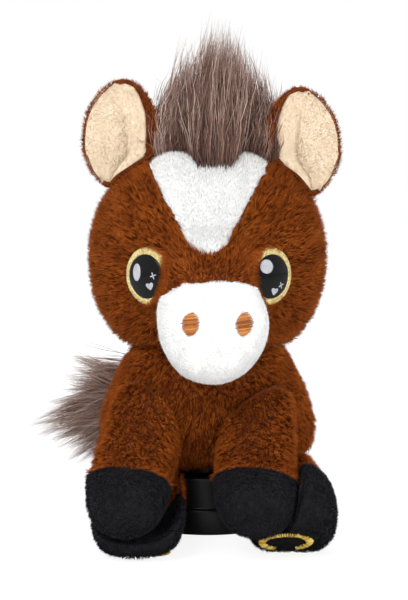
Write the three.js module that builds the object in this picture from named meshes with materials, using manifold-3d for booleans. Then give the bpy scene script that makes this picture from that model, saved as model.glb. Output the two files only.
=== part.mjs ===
// A sitting plush horse, built as it is sewn: fur covers over fibre filling, safety eyes with
// stems and washers, hair tufts, stuffed legs with hoof caps, and a round base under the seat.
// Millimetres, +Z up. The horse faces -Y, so its own left side is at +X. The origin is the
// middle of the base's underside.
import * as THREE from "three";
import { mergeVertices } from "three/addons/utils/BufferGeometryUtils.js";
import Module from "manifold-3d";

const wasm = await Module();
wasm.setup();

// Fabric
const FUR_PILE = 3;
const SHORT_PILE = 1.4;
const MUZZLE_PILE = 1.8;
const BACKING = 0.8;
const CLEARANCE = 0.3;

// Base
const BASE_RADIUS = 28;
const BASE_RIM_HEIGHT = 9.8;
const BASE_DRUM_RADIUS = 25.4;
const BASE_HEIGHT = 21.8;
const BASE_SPIGOT_RADIUS = 15;
const BASE_SPIGOT_HEIGHT = 7;
const BASE_WALL = 2;
const BASE_PLATE = 2.2;
const BASE_EDGE = 1;

// Torso, from its seat up to the top that sits inside the head
const TORSO_NECK_HEIGHT = 78;
const TORSO_SEAT_HALF_WIDTH = 44;
const TORSO_BELLY_HALF_WIDTH = 43.5;
const TORSO_CHEST_RADIUS = 36.5;
const TORSO_NECK_RADIUS = 29;
const TORSO_SEAT_HALF_DEPTH = 34;
const TORSO_BELLY_HALF_DEPTH = 36;
const TORSO_SEAT_BACKSET = 3;

// Head
const HEAD_HEIGHT = 106;
const HEAD_FORWARD = 3;
const HEAD_HALF_WIDTH = 47;
const HEAD_CROWN = 42;
const HEAD_JAW = 43;
const HEAD_FACE = 35;
const HEAD_NAPE = 38;

// Snout and muzzle
const SNOUT_ROOT_FORWARD = 16;
const SNOUT_ROOT_HEIGHT = 108;
const SNOUT_REACH = 58;
const SNOUT_HALF_WIDTH = 25;
const SNOUT_HALF_HEIGHT = 26;
const MUZZLE_HEIGHT = 82.6;
const MUZZLE_FORWARD = 53;
const MUZZLE_OFFSET = 2.2;
const MUZZLE_HALF_WIDTH = 21.4;
const MUZZLE_HALF_HEIGHT = 19.7;
const MUZZLE_NOSE = 13;
const MUZZLE_ROOT = 12;
const NOSTRIL_SPACING = 19.8;
const NOSTRILS_OFFSET = 3.6;
const NOSTRIL_HEIGHT = 87;
const NOSTRIL_HALF_WIDTH = 3.1;
const NOSTRIL_HALF_HEIGHT = 4.2;
const NOSTRIL_PROUD = 0.9;

// Blaze, the white patch on the forehead
const BLAZE_TOP = 149;
const BLAZE_NOTCH = 142;
const BLAZE_TIP = 111;
const BLAZE_HALF_WIDTH = 25;
const BLAZE_BACK = 13;

// Eyes
const EYE_SPREAD = 22.3;
const EYES_OFFSET = 0.45;
const EYE_HEIGHT = 102.2;
const EYE_FORWARD = 38.6;
const EYE_YAW = 40;
const EYE_RADIUS = 11.1;
const EYE_PUPIL_RADIUS = 8.3;
const EYE_DOME = 2.4;
const EYE_RIM = 1.2;
const EYE_FLANGE = 1;
const EYE_STEM_RADIUS = 2.4;
const EYE_STEM_LENGTH = 11;
const EYE_WASHER_RADIUS = 8;
const EYE_WASHER_THICKNESS = 1.6;
const EYE_WASHER_BACKSET = 3.2;

// Ears
const EAR_SPREAD = 37;
const EARS_OFFSET = 1.6;
const EAR_HINGE_HEIGHT = 141;
const EAR_FORWARD = 5;
const EAR_TIP_HEIGHT = 175;
const EAR_TIP_SPREAD = 33.5;
const EAR_ROOT_HEIGHT = 133;
const EAR_HALF_WIDTH = 14.3;
const EAR_HALF_THICKNESS = 4.2;
const EAR_LINING_MARGIN = 2.6;
const EAR_LINING_THICKNESS = 1.2;
const EAR_LEFT_DROP = 3;
const EAR_FLOP_LIMIT = 18;

// Hair
const MANE_TIP_HEIGHT = 198;
const MANE_HALF_WIDTH = 20;
const MANE_HALF_DEPTH = 13;
const MANE_TIP_OFFSET = 5;
const NAPE_MANE_HALF_WIDTH = 8;
const NAPE_MANE_PROUD = 7;
const NAPE_MANE_LOW = 84;
const TAIL_ROOT_HEIGHT = 42;
const TAIL_REACH = 74;
const TAIL_TIP_HEIGHT = 36;
const TAIL_ROOT_BACK = 36;
const TAIL_TIP_BACK = 33;
const TAIL_ROOT_HALF_HEIGHT = 7;
const TAIL_FAN_HALF_HEIGHT = 20;
const TAIL_HALF_THICKNESS = 6;
const TAIL_SWING_LIMIT = 15;

// Front legs. The shoulder is the leg's root inside the torso, and it swings at its seam's top.
const SHOULDER_SPREAD = 19;
const SHOULDER_FORWARD = 14;
const SHOULDER_HEIGHT = 57;
const SHOULDER_HALF_WIDTH = 15.5;
const SHOULDER_HALF_DEPTH = 13;
const SHOULDER_SEAM_FORWARD = 28;
const SHOULDER_SEAM_HEIGHT = 62;
const FRONT_LEG_HALF_WIDTH = 16.4;
const FRONT_LEG_HALF_DEPTH = 14.6;
const FRONT_WRIST_HALF_WIDTH = 16.2;
const FRONT_WRIST_HALF_DEPTH = 14.6;
const FRONT_HOOF_SPREAD = 23.9;
const FRONT_HOOVES_OFFSET = -5.7;
const FRONT_SEAM_FORWARD = 50;
const FRONT_SEAM_HEIGHT = 25.4;
const FRONT_SEAM_TILT = 28;
const FRONT_SEAM_YAW = 15;
const FRONT_TOE_FORWARD = 84;
const FRONT_TOE_HEIGHT = 19;
const FRONT_HOOF_HALF_WIDTH = 15.8;
const FRONT_HOOF_HALF_DEPTH = 13.6;
const FRONT_SWING_LIMIT = 12;

// Hind legs. The hip is the leg's root under the torso, and it splays at its seam's outer end.
const HIP_SPREAD = 23;
const HIP_BACK = 3;
const HIP_HEIGHT = 20;
const HIP_HALF_WIDTH = 14;
const HIP_HALF_HEIGHT = 15;
const HIP_SEAM_SPREAD = 37;
const HIP_SEAM_FORWARD = 10;
const HIND_THIGH_HALF_WIDTH = 16.4;
const HIND_THIGH_HALF_HEIGHT = 17;
const HIND_ANKLE_HALF_WIDTH = 16.8;
const HIND_ANKLE_HALF_HEIGHT = 16.6;
const HIND_HOOF_SPREAD = 28;
const HIND_HOOVES_OFFSET = 2.4;
const HIND_SEAM_FORWARD = 40;
const HIND_LEFT_TOE_FORWARD = 77;
const HIND_RIGHT_TOE_FORWARD = 79;
const HIND_TOE_OFFSET = 1;
const HIND_HOOF_HEIGHT = 15.4;
const HIND_LEFT_HOOF_HALF_WIDTH = 18.8;
const HIND_RIGHT_HOOF_HALF_WIDTH = 20;
const HIND_HOOF_HALF_HEIGHT = 18;
const HIND_SPLAY_LIMIT = 6;
const HOOF_PRESS_CLEARANCE = 1.3;

// Soles of the hind hooves, each a patch with a stitched horseshoe, let into the hoof
const SOLE_LEFT_HEEL_FORWARD = 59;
const SOLE_RIGHT_HEEL_FORWARD = 52;
const SOLE_LEFT_TILT = 35;
const SOLE_RIGHT_TILT = 3;
const SOLE_HALF_WIDTH = 11.8;
const SOLE_LENGTH = 18;
const SOLE_MARGIN = 0.8;
const SOLE_OFFSET = 2.1;
const SOLE_THICKNESS = 0.9;
const HORSESHOE_HALF_WIDTH = 10.2;
const HORSESHOE_LENGTH = 15.6;
const HORSESHOE_BAND = 2.6;
const HORSESHOE_THICKNESS = 0.6;
const HORSESHOE_OPENING = 56;

// How finely the forms are cut
const BODY_COLUMNS = 20;
const BODY_BANDS = 12;
const MUZZLE_COLUMNS = 16;
const MUZZLE_BANDS = 10;
const TORSO_SIDES = 24;
const TORSO_RINGS = 8;
const LIMB_RINGS = 8;
const LIMB_SIDES = 12;
const HAIR_SIDES = 12;
const HAIR_RINGS = 8;
const EYE_SIDES = 16;
const EYE_DOME_STEPS = 3;
const BASE_SIDES = 32;
const OUTLINE_STEPS = 3;
const SOLE_STEPS = 8;
const MERGE_DISTANCE = 1e-4;
const OVERRUN = 60;

// Shares of the sizes above
const SOFT_POWER_SHARE = 2.35;
const TORSO_BLUNTNESS_SHARE = 5;
const SNOUT_BLUNTNESS_SHARE = 3;
const EAR_BLUNTNESS_SHARE = 2.4;
const HAIR_BLUNTNESS_SHARE = 2.6;
const FRONT_LEG_BLUNTNESS_SHARE = 4;
const HIND_LEG_BLUNTNESS_SHARE = 5;
const ROUND_POWER_SHARE = 2;
const SNOUT_POWER_SHARE = 2.5;
const HIND_LEG_POWER_SHARE = 2.6;
const TORSO_BELLY_SHARE = 1 / 3;
const TORSO_CHEST_SHARE = 2 / 3;
const LEG_BEND_SHARE = 1 / 3;
const BLAZE_TIP_WIDTH_SHARE = 0.25;
const BLAZE_WAIST_WIDTH_SHARE = 0.46;
const BLAZE_WAIST_HEIGHT_SHARE = 0.3;
const BLAZE_FLARE_WIDTH_SHARE = 0.74;
const BLAZE_FLARE_HEIGHT_SHARE = 0.62;
const BLAZE_SHOULDER_SHARE = 0.92;
const BLAZE_CROWN_WIDTH_SHARE = 0.55;
const BLAZE_NOTCH_WIDTH_SHARE = 0.2;
// Ear: height above its root, and half width
const EAR_SHARES = [
  [0, 0.8],
  [0.35, 1.04],
  [0.7, 0.98],
  [1, 0.66],
];
// Crown mane: height above the crown, sideways and backward lean, and half width
const MANE_CROWN_SHARES = [
  [-0.3, 0, 0.95],
  [0.1, 0.1, 1.04],
  [0.55, 0.5, 0.86],
  [1, 1, 0.3],
];
// Nape mane: distance behind the middle of the head, and height above its lower end
const MANE_NAPE_SHARES = [
  [0.36, 1],
  [0.82, 0.82],
  [1, 0.34],
  [0.86, 0],
];
// Tail: reach to the side, backward bow, height of the fan, and thickness
const TAIL_SHARES = [
  [0, 0, 0, 1],
  [0.33, 0.45, 0.5, 1.1],
  [0.68, 0.4, 1.06, 1],
  [1, 0, 0.5, 0.6],
];

const FUR_COVER = FUR_PILE + BACKING;
const HOOF_COVER = SHORT_PILE + BACKING;
const MUZZLE_COVER = MUZZLE_PILE + BACKING;
const UP = new THREE.Vector3(0, 0, 1);
const SIDEWAYS = new THREE.Vector3(1, 0, 0);
const SIDES = [
  { name: "left", sign: 1 },
  { name: "right", sign: -1 },
];

const finishes = {
  brown_fur: { color: 0x7d3c12, roughness: 0.95, metalness: 0 },
  white_fur: { color: 0xf2f1ee, roughness: 0.95, metalness: 0 },
  black_fur: { color: 0x232327, roughness: 0.95, metalness: 0 },
  filling: { color: 0xe9e6df, roughness: 1, metalness: 0 },
  ear_lining: { color: 0xecd9bd, roughness: 0.9, metalness: 0 },
  hair: { color: 0x4f3d39, roughness: 0.6, metalness: 0 },
  gold_thread: { color: 0xd8b34a, roughness: 0.5, metalness: 0.1 },
  tan_thread: { color: 0xc7783c, roughness: 0.6, metalness: 0 },
  eye_glitter: { color: 0xc9a75c, roughness: 0.35, metalness: 0.6 },
  eye_black: { color: 0x0c0c0e, roughness: 0.08, metalness: 0 },
  eye_hardware: { color: 0x1f1f21, roughness: 0.6, metalness: 0 },
  base_plastic: { color: 0x17171a, roughness: 0.35, metalness: 0 },
};
const materials = Object.fromEntries(
  Object.entries(finishes).map(([name, finish]) => [name, new THREE.MeshStandardMaterial(finish)]),
);

const place = (x, y, z) => new THREE.Vector3(x, y, z);
const radians = THREE.MathUtils.degToRad;

// Solids and geometry

function solidFrom(geometry) {
  geometry.deleteAttribute("normal");
  geometry.deleteAttribute("uv");
  const merged = mergeVertices(geometry, MERGE_DISTANCE);
  const mesh = new wasm.Mesh({
    numProp: 3,
    vertProperties: merged.getAttribute("position").array,
    triVerts: new Uint32Array(merged.index.array),
  });
  return new wasm.Manifold(mesh);
}

function geometryFrom(solid) {
  const mesh = solid.getMesh();
  const geometry = new THREE.BufferGeometry();
  geometry.setAttribute("position", new THREE.BufferAttribute(mesh.vertProperties, mesh.numProp));
  geometry.setIndex(new THREE.BufferAttribute(mesh.triVerts, 1));
  return geometry;
}

const join = (first, ...others) => others.reduce((whole, one) => whole.add(one), first);
const cut = (first, ...tools) => tools.reduce((rest, tool) => rest.subtract(tool), first);

// A solid turned about a line through a point, in degrees.
function turned(solid, hinge, degrees) {
  const matrix = new THREE.Matrix4().makeTranslation(hinge.at);
  matrix.multiply(new THREE.Matrix4().makeRotationAxis(hinge.axis, radians(degrees)));
  matrix.multiply(new THREE.Matrix4().makeTranslation(hinge.at.clone().negate()));
  return solidFrom(geometryFrom(solid).applyMatrix4(matrix));
}

// Where a neighbour lies, seen from a piece that turns about the hinge by each of the angles.
function swept(neighbour, hinge, angles) {
  return join(...angles.map((degrees) => turned(neighbour, hinge, -degrees)));
}

// Soft forms

// A closed form with its own half size on each side of its middle, rounder or boxier by its power.
function swell(form, grow = 0) {
  const ball = new THREE.SphereGeometry(1, form.columns, form.bands);
  ball.rotateX(Math.PI / 2);
  const points = ball.getAttribute("position");
  const way = new THREE.Vector3();
  for (let i = 0; i < points.count; i += 1) {
    way.fromBufferAttribute(points, i);
    const total = way.toArray().reduce((sum, part) => sum + Math.abs(part) ** form.power, 0);
    const halves = way.toArray().map((part, axis) => {
      return (part < 0 ? form.low : form.high).getComponent(axis) + grow;
    });
    way.multiply(place(...halves)).multiplyScalar(total ** (-1 / form.power)).add(form.at);
    points.setXYZ(i, way.x, way.y, way.z);
  }
  return solidFrom(ball);
}

// A closed form along a smooth path. Each station has its own half width and half depth, and
// both ends are rounded. The width lies across the path and square to the face direction. The
// power makes the sections rounder or boxier.
function limb(form, grow = 0) {
  const { rings, sides, bluntness, power } = form;
  const softened = (value) => Math.sign(value) * Math.abs(value) ** (ROUND_POWER_SHARE / power);
  const path = new THREE.CatmullRomCurve3(form.stations.map((station) => station.at));
  const sizes = new THREE.CatmullRomCurve3(
    form.stations.map((station) => place(station.wide, station.deep, 0)),
  );
  const corners = [];
  for (let ring = 0; ring <= rings; ring += 1) {
    const along = (1 - Math.cos((Math.PI * ring) / rings)) / 2;
    const fromMiddle = 2 * along - 1;
    const ahead = path.getTangent(along);
    const middle = path.getPoint(along).addScaledVector(ahead, grow * fromMiddle);
    const size = sizes.getPoint(along);
    const fullness = Math.max(0, 1 - Math.abs(fromMiddle) ** bluntness) ** (1 / bluntness);
    const across = new THREE.Vector3().crossVectors(form.face, ahead).normalize();
    const out = new THREE.Vector3().crossVectors(ahead, across);
    for (let side = 0; side < sides; side += 1) {
      const turn = (2 * Math.PI * side) / sides;
      const corner = middle.clone();
      corner.addScaledVector(across, fullness * (size.x + grow) * softened(Math.cos(turn)));
      corner.addScaledVector(out, fullness * (size.y + grow) * softened(Math.sin(turn)));
      corners.push(corner);
    }
  }
  return solidFrom(ringGeometry(corners, rings, sides));
}

// Triangles between rings of corners. All corners of the first ring lie in one point, and so do
// those of the last, so one triangle of each pair there has no area and is left out.
function ringGeometry(corners, rings, sides) {
  const triangles = [];
  for (let ring = 0; ring < rings; ring += 1) {
    for (let side = 0; side < sides; side += 1) {
      const next = (side + 1) % sides;
      const [a, b] = [ring * sides + side, ring * sides + next];
      const [c, d] = [a + sides, b + sides];
      if (ring > 0) triangles.push(a, b, c);
      if (ring < rings - 1) triangles.push(b, d, c);
    }
  }
  const geometry = new THREE.BufferGeometry().setFromPoints(corners);
  geometry.setIndex(triangles);
  return geometry;
}

// The half of space that lies ahead of a plane, as a large block.
function beyond(at, ahead) {
  const box = new THREE.BoxGeometry(2 * OVERRUN, 2 * OVERRUN, 2 * OVERRUN);
  box.translate(0, 0, OVERRUN);
  box.applyQuaternion(new THREE.Quaternion().setFromUnitVectors(UP, ahead.clone().normalize()));
  return solidFrom(box.translate(at.x, at.y, at.z));
}

// A turned piece about +Z, from points of radius and height.
function turnedPiece(points, sides) {
  const profile = points.map(([radius, height]) => new THREE.Vector2(radius, height));
  const lathe = new THREE.LatheGeometry(profile, sides);
  return lathe.rotateX(Math.PI / 2);
}

// A solid of the outline's shape in X and Z, from one Y to another.
function prism(outline, from, to) {
  const geometry = new THREE.ExtrudeGeometry(outline, { depth: to - from, bevelEnabled: false });
  geometry.rotateX(Math.PI / 2);
  return solidFrom(geometry.translate(0, to, 0));
}

const toy = new THREE.Group();
toy.name = "plush_horse";

function addPiece(name, solid, finish) {
  const mesh = new THREE.Mesh(geometryFrom(solid), materials[finish]);
  mesh.name = name;
  toy.add(mesh);
}

// Base

const basePoints = [
  [BASE_RADIUS - BASE_EDGE, 0],
  [BASE_RADIUS, BASE_EDGE],
  [BASE_RADIUS, BASE_RIM_HEIGHT - BASE_EDGE],
  [BASE_RADIUS - BASE_EDGE, BASE_RIM_HEIGHT],
  [BASE_DRUM_RADIUS, BASE_RIM_HEIGHT],
  [BASE_DRUM_RADIUS, BASE_HEIGHT - BASE_EDGE],
  [BASE_DRUM_RADIUS - BASE_EDGE, BASE_HEIGHT],
  [BASE_SPIGOT_RADIUS, BASE_HEIGHT],
  [BASE_SPIGOT_RADIUS, BASE_HEIGHT + BASE_SPIGOT_HEIGHT],
];

function baseBody(grow = 0) {
  const outside = basePoints.map(([radius, height]) => [radius + grow, height + (height > 0 ? grow : 0)]);
  const bottom = [0, outside[0][1]];
  const top = [0, outside.at(-1)[1]];
  return solidFrom(turnedPiece([bottom, ...outside, top], BASE_SIDES));
}

// The room that the base takes up under the torso.
function baseRoom() {
  const radius = BASE_RADIUS + CLEARANCE;
  const drumRadius = BASE_DRUM_RADIUS + CLEARANCE;
  const spigotRadius = BASE_SPIGOT_RADIUS + CLEARANCE;
  const step = BASE_RIM_HEIGHT + CLEARANCE;
  const shoulder = BASE_HEIGHT + CLEARANCE;
  const points = [
    [0, -OVERRUN],
    [radius, -OVERRUN],
    [radius, step],
    [drumRadius, step],
    [drumRadius, shoulder],
    [spigotRadius, shoulder],
    [spigotRadius, shoulder + BASE_SPIGOT_HEIGHT],
    [0, shoulder + BASE_SPIGOT_HEIGHT],
  ];
  return solidFrom(turnedPiece(points, BASE_SIDES));
}

function buildBase() {
  const room = turnedPiece(
    [
      [0, -OVERRUN],
      [BASE_DRUM_RADIUS - BASE_WALL, -OVERRUN],
      [BASE_DRUM_RADIUS - BASE_WALL, BASE_HEIGHT - BASE_WALL],
      [0, BASE_HEIGHT - BASE_WALL],
    ],
    BASE_SIDES,
  );
  const plateRadius = BASE_DRUM_RADIUS - BASE_WALL - CLEARANCE;
  const plate = turnedPiece(
    [
      [0, 0],
      [plateRadius, 0],
      [plateRadius, BASE_PLATE],
      [0, BASE_PLATE],
    ],
    BASE_SIDES,
  );
  addPiece("base_housing", cut(baseBody(), solidFrom(room)), "base_plastic");
  addPiece("base_plate", solidFrom(plate), "base_plastic");
}

// Torso

const torsoFloor = BASE_HEIGHT + CLEARANCE;
const torsoHeight = (share) => THREE.MathUtils.lerp(torsoFloor, TORSO_NECK_HEIGHT, share);
const torsoShape = {
  face: place(0, -1, 0),
  bluntness: TORSO_BLUNTNESS_SHARE,
  power: ROUND_POWER_SHARE,
  sides: TORSO_SIDES,
  rings: TORSO_RINGS,
  stations: [
    {
      at: place(0, TORSO_SEAT_BACKSET, torsoFloor),
      wide: TORSO_SEAT_HALF_WIDTH,
      deep: TORSO_SEAT_HALF_DEPTH,
    },
    {
      at: place(0, TORSO_SEAT_BACKSET, torsoHeight(TORSO_BELLY_SHARE)),
      wide: TORSO_BELLY_HALF_WIDTH,
      deep: TORSO_BELLY_HALF_DEPTH,
    },
    {
      at: place(0, 0, torsoHeight(TORSO_CHEST_SHARE)),
      wide: TORSO_CHEST_RADIUS,
      deep: TORSO_CHEST_RADIUS,
    },
    { at: place(0, 0, TORSO_NECK_HEIGHT), wide: TORSO_NECK_RADIUS, deep: TORSO_NECK_RADIUS },
  ],
};

const torso = (grow = 0) => limb(torsoShape, grow);

function buildTorso() {
  const base = baseBody(CLEARANCE);
  addPiece("torso_cover", cut(torso(), torso(-FUR_COVER), base), "brown_fur");
  addPiece("torso_filling", cut(torso(-FUR_COVER - CLEARANCE), base), "filling");
}

// Head, snout and muzzle

const headAt = place(0, -HEAD_FORWARD, HEAD_HEIGHT);
const craniumShape = {
  at: headAt,
  low: place(HEAD_HALF_WIDTH, HEAD_FACE, HEAD_JAW),
  high: place(HEAD_HALF_WIDTH, HEAD_NAPE, HEAD_CROWN),
  power: SOFT_POWER_SHARE,
  columns: BODY_COLUMNS,
  bands: BODY_BANDS,
};
const muzzleAt = place(MUZZLE_OFFSET, -MUZZLE_FORWARD, MUZZLE_HEIGHT);
const snoutShape = {
  face: UP,
  bluntness: SNOUT_BLUNTNESS_SHARE,
  power: SNOUT_POWER_SHARE,
  sides: LIMB_SIDES,
  rings: LIMB_RINGS,
  stations: [
    {
      at: place(0, -SNOUT_ROOT_FORWARD, SNOUT_ROOT_HEIGHT),
      wide: SNOUT_HALF_WIDTH,
      deep: SNOUT_HALF_HEIGHT,
    },
    {
      at: place(MUZZLE_OFFSET, -SNOUT_REACH, MUZZLE_HEIGHT),
      wide: MUZZLE_HALF_WIDTH,
      deep: MUZZLE_HALF_HEIGHT,
    },
  ],
};
const muzzleShape = {
  at: muzzleAt,
  low: place(MUZZLE_HALF_WIDTH, MUZZLE_NOSE, MUZZLE_HALF_HEIGHT),
  high: place(MUZZLE_HALF_WIDTH, MUZZLE_ROOT, MUZZLE_HALF_HEIGHT),
  power: SOFT_POWER_SHARE,
  columns: MUZZLE_COLUMNS,
  bands: MUZZLE_BANDS,
};

const head = (grow = 0) => join(swell(craniumShape, grow), limb(snoutShape, grow));

function blazeOutline(grow = 0) {
  const half = BLAZE_HALF_WIDTH + grow;
  const low = BLAZE_TIP - grow - grow;
  const up = (share) => THREE.MathUtils.lerp(low, BLAZE_TOP, share);
  const across = (share) => half * share;
  const right = [
    [BLAZE_TIP_WIDTH_SHARE, low, BLAZE_WAIST_WIDTH_SHARE, up(BLAZE_WAIST_HEIGHT_SHARE)],
    [BLAZE_FLARE_WIDTH_SHARE, up(BLAZE_FLARE_HEIGHT_SHARE), 1, up(BLAZE_SHOULDER_SHARE)],
  ];
  const outline = new THREE.Shape();
  outline.moveTo(0, low);
  right.forEach(([a, b, c, d]) => outline.quadraticCurveTo(across(a), b, across(c), d));
  outline.lineTo(half, BLAZE_TOP + OVERRUN);
  outline.lineTo(across(BLAZE_CROWN_WIDTH_SHARE), BLAZE_TOP + OVERRUN);
  outline.lineTo(across(BLAZE_CROWN_WIDTH_SHARE), BLAZE_TOP);
  outline.quadraticCurveTo(across(BLAZE_NOTCH_WIDTH_SHARE), BLAZE_TOP, 0, BLAZE_NOTCH + grow);
  const points = outline.getPoints(OUTLINE_STEPS);
  const mirrored = points.slice(1, -1).map((point) => new THREE.Vector2(-point.x, point.y));
  return new THREE.Shape([...points, ...mirrored.reverse()]);
}

const blazePrism = (grow) => prism(blazeOutline(grow), -OVERRUN - OVERRUN, -BLAZE_BACK + grow);

const eyeTurn = (side) => radians(side.sign * EYE_YAW);
const eyeAt = (side) => place(EYES_OFFSET + side.sign * EYE_SPREAD, -EYE_FORWARD, EYE_HEIGHT);

// A piece turned about +Z, set on the face so that its axis points out of the eye.
function atEye(geometry, side) {
  geometry.rotateX(Math.PI / 2).rotateZ(eyeTurn(side));
  const at = eyeAt(side);
  return solidFrom(geometry.translate(at.x, at.y, at.z));
}

function cylinder(radius, from, to) {
  const points = [
    [0, from],
    [radius, from],
    [radius, to],
    [0, to],
  ];
  return turnedPiece(points, EYE_SIDES);
}

function eyeRoom(side) {
  const socketDepth = EYE_FLANGE + CLEARANCE;
  const socket = atEye(cylinder(EYE_RADIUS + CLEARANCE, -socketDepth, EYE_RADIUS), side);
  const hole = atEye(cylinder(EYE_STEM_RADIUS + CLEARANCE, -EYE_STEM_LENGTH - CLEARANCE, 0), side);
  const behind = -EYE_WASHER_BACKSET - EYE_WASHER_THICKNESS - CLEARANCE;
  const ahead = -EYE_WASHER_BACKSET + CLEARANCE;
  const pocket = atEye(cylinder(EYE_WASHER_RADIUS + CLEARANCE, behind, ahead), side);
  return join(socket, hole, pocket);
}

function buildEye(side) {
  const bend = (EYE_RADIUS ** 2 + EYE_DOME ** 2) / (2 * EYE_DOME);
  const domeHeight = (radius) => EYE_RIM + Math.sqrt(bend ** 2 - radius ** 2) - (bend - EYE_DOME);
  const arc = (from, to, count) =>
    Array.from({ length: count + 1 }, (_, n) => {
      const radius = from + ((to - from) * n) / count;
      return [radius, domeHeight(radius)];
    });
  const inner = EYE_PUPIL_RADIUS + CLEARANCE;
  const ring = [[inner, 0], [EYE_RADIUS, 0], ...arc(EYE_RADIUS, inner, 1), [inner, 0]];
  const pupil = [[0, 0], [EYE_PUPIL_RADIUS, 0], ...arc(EYE_PUPIL_RADIUS, 0, EYE_DOME_STEPS)];
  addPiece(`eye_ring_${side.name}`, atEye(turnedPiece(ring, EYE_SIDES), side), "eye_glitter");
  addPiece(`eye_pupil_${side.name}`, atEye(turnedPiece(pupil, EYE_SIDES), side), "eye_black");
  const stem = [
    [0, -EYE_STEM_LENGTH],
    [EYE_STEM_RADIUS, -EYE_STEM_LENGTH],
    [EYE_STEM_RADIUS, -EYE_FLANGE - CLEARANCE],
    [EYE_RADIUS, -EYE_FLANGE - CLEARANCE],
    [EYE_RADIUS, -CLEARANCE],
    [0, -CLEARANCE],
  ];
  addPiece(`eye_stem_${side.name}`, atEye(turnedPiece(stem, EYE_SIDES), side), "eye_hardware");
  const hole = EYE_STEM_RADIUS + CLEARANCE;
  const washer = [
    [hole, -EYE_WASHER_BACKSET - EYE_WASHER_THICKNESS],
    [EYE_WASHER_RADIUS, -EYE_WASHER_BACKSET - EYE_WASHER_THICKNESS],
    [EYE_WASHER_RADIUS, -EYE_WASHER_BACKSET],
    [hole, -EYE_WASHER_BACKSET],
    [hole, -EYE_WASHER_BACKSET - EYE_WASHER_THICKNESS],
  ];
  addPiece(`eye_washer_${side.name}`, atEye(turnedPiece(washer, EYE_SIDES), side), "eye_hardware");
}

function buildHead() {
  const neck = torso(CLEARANCE + CLEARANCE);
  const rooms = SIDES.map(eyeRoom);
  const inside = join(head(-FUR_COVER), swell(muzzleShape, -MUZZLE_COVER));
  const shell = cut(head(), inside, neck, ...rooms);
  addPiece("head_cover", cut(shell, swell(muzzleShape, CLEARANCE), blazePrism(CLEARANCE)), "brown_fur");
  addPiece("blaze_patch", shell.intersect(blazePrism(0)), "white_fur");
  addPiece("muzzle_cover", cut(swell(muzzleShape), inside, neck), "white_fur");
  const core = join(head(-FUR_COVER - CLEARANCE), swell(muzzleShape, -MUZZLE_COVER - CLEARANCE));
  addPiece("head_filling", cut(core, neck, ...rooms), "filling");
  for (const side of SIDES) {
    buildEye(side);
    buildNostril(side);
  }
}

function buildNostril(side) {
  const across = NOSTRILS_OFFSET + (side.sign * NOSTRIL_SPACING) / 2;
  const outline = new THREE.Shape();
  outline.absellipse(across, NOSTRIL_HEIGHT, NOSTRIL_HALF_WIDTH, NOSTRIL_HALF_HEIGHT, 0, 2 * Math.PI);
  const through = prism(new THREE.Shape(outline.getPoints(LIMB_SIDES)), -OVERRUN - OVERRUN, -MUZZLE_FORWARD);
  const proud = cut(swell(muzzleShape, CLEARANCE + NOSTRIL_PROUD), swell(muzzleShape, CLEARANCE));
  addPiece(`nostril_${side.name}`, through.intersect(proud), "tan_thread");
}

// Ears

const earDrop = (side) => (side.sign > 0 ? EAR_LEFT_DROP : 0);
const earAcross = (side, spread) => EARS_OFFSET + side.sign * spread;
const earHinge = (side) => ({
  at: place(earAcross(side, EAR_SPREAD), -EAR_FORWARD, EAR_HINGE_HEIGHT - earDrop(side)),
  axis: SIDEWAYS,
});

function earShape(side, margin, thickness, forward) {
  const low = EAR_ROOT_HEIGHT + margin - earDrop(side);
  const high = EAR_TIP_HEIGHT - margin - earDrop(side);
  const station = ([share, wideShare]) => ({
    at: place(
      earAcross(side, THREE.MathUtils.lerp(EAR_SPREAD, EAR_TIP_SPREAD, share)),
      -EAR_FORWARD - forward,
      THREE.MathUtils.lerp(low, high, share),
    ),
    wide: (EAR_HALF_WIDTH - margin) * wideShare,
    deep: thickness,
  });
  return {
    face: place(0, -1, 0),
    bluntness: EAR_BLUNTNESS_SHARE,
    power: ROUND_POWER_SHARE,
    rings: LIMB_RINGS,
    sides: LIMB_SIDES,
    stations: EAR_SHARES.map(station),
  };
}

const earFur = (side, grow = 0) => limb(earShape(side, 0, EAR_HALF_THICKNESS, 0), grow);

function buildEar(side) {
  const hinge = earHinge(side);
  const skull = swept(swell(craniumShape, CLEARANCE), hinge, [-EAR_FLOP_LIMIT, 0, EAR_FLOP_LIMIT]);
  const lining = earShape(side, EAR_LINING_MARGIN, EAR_LINING_THICKNESS, EAR_HALF_THICKNESS);
  addPiece(`ear_fur_${side.name}`, cut(earFur(side), limb(lining, CLEARANCE), skull), "brown_fur");
  addPiece(`ear_lining_${side.name}`, cut(limb(lining), skull), "ear_lining");
}

// Hair

const hairForm = (face, stations) => ({
  face,
  bluntness: HAIR_BLUNTNESS_SHARE,
  power: ROUND_POWER_SHARE,
  sides: HAIR_SIDES,
  rings: HAIR_RINGS,
  stations,
});

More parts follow.
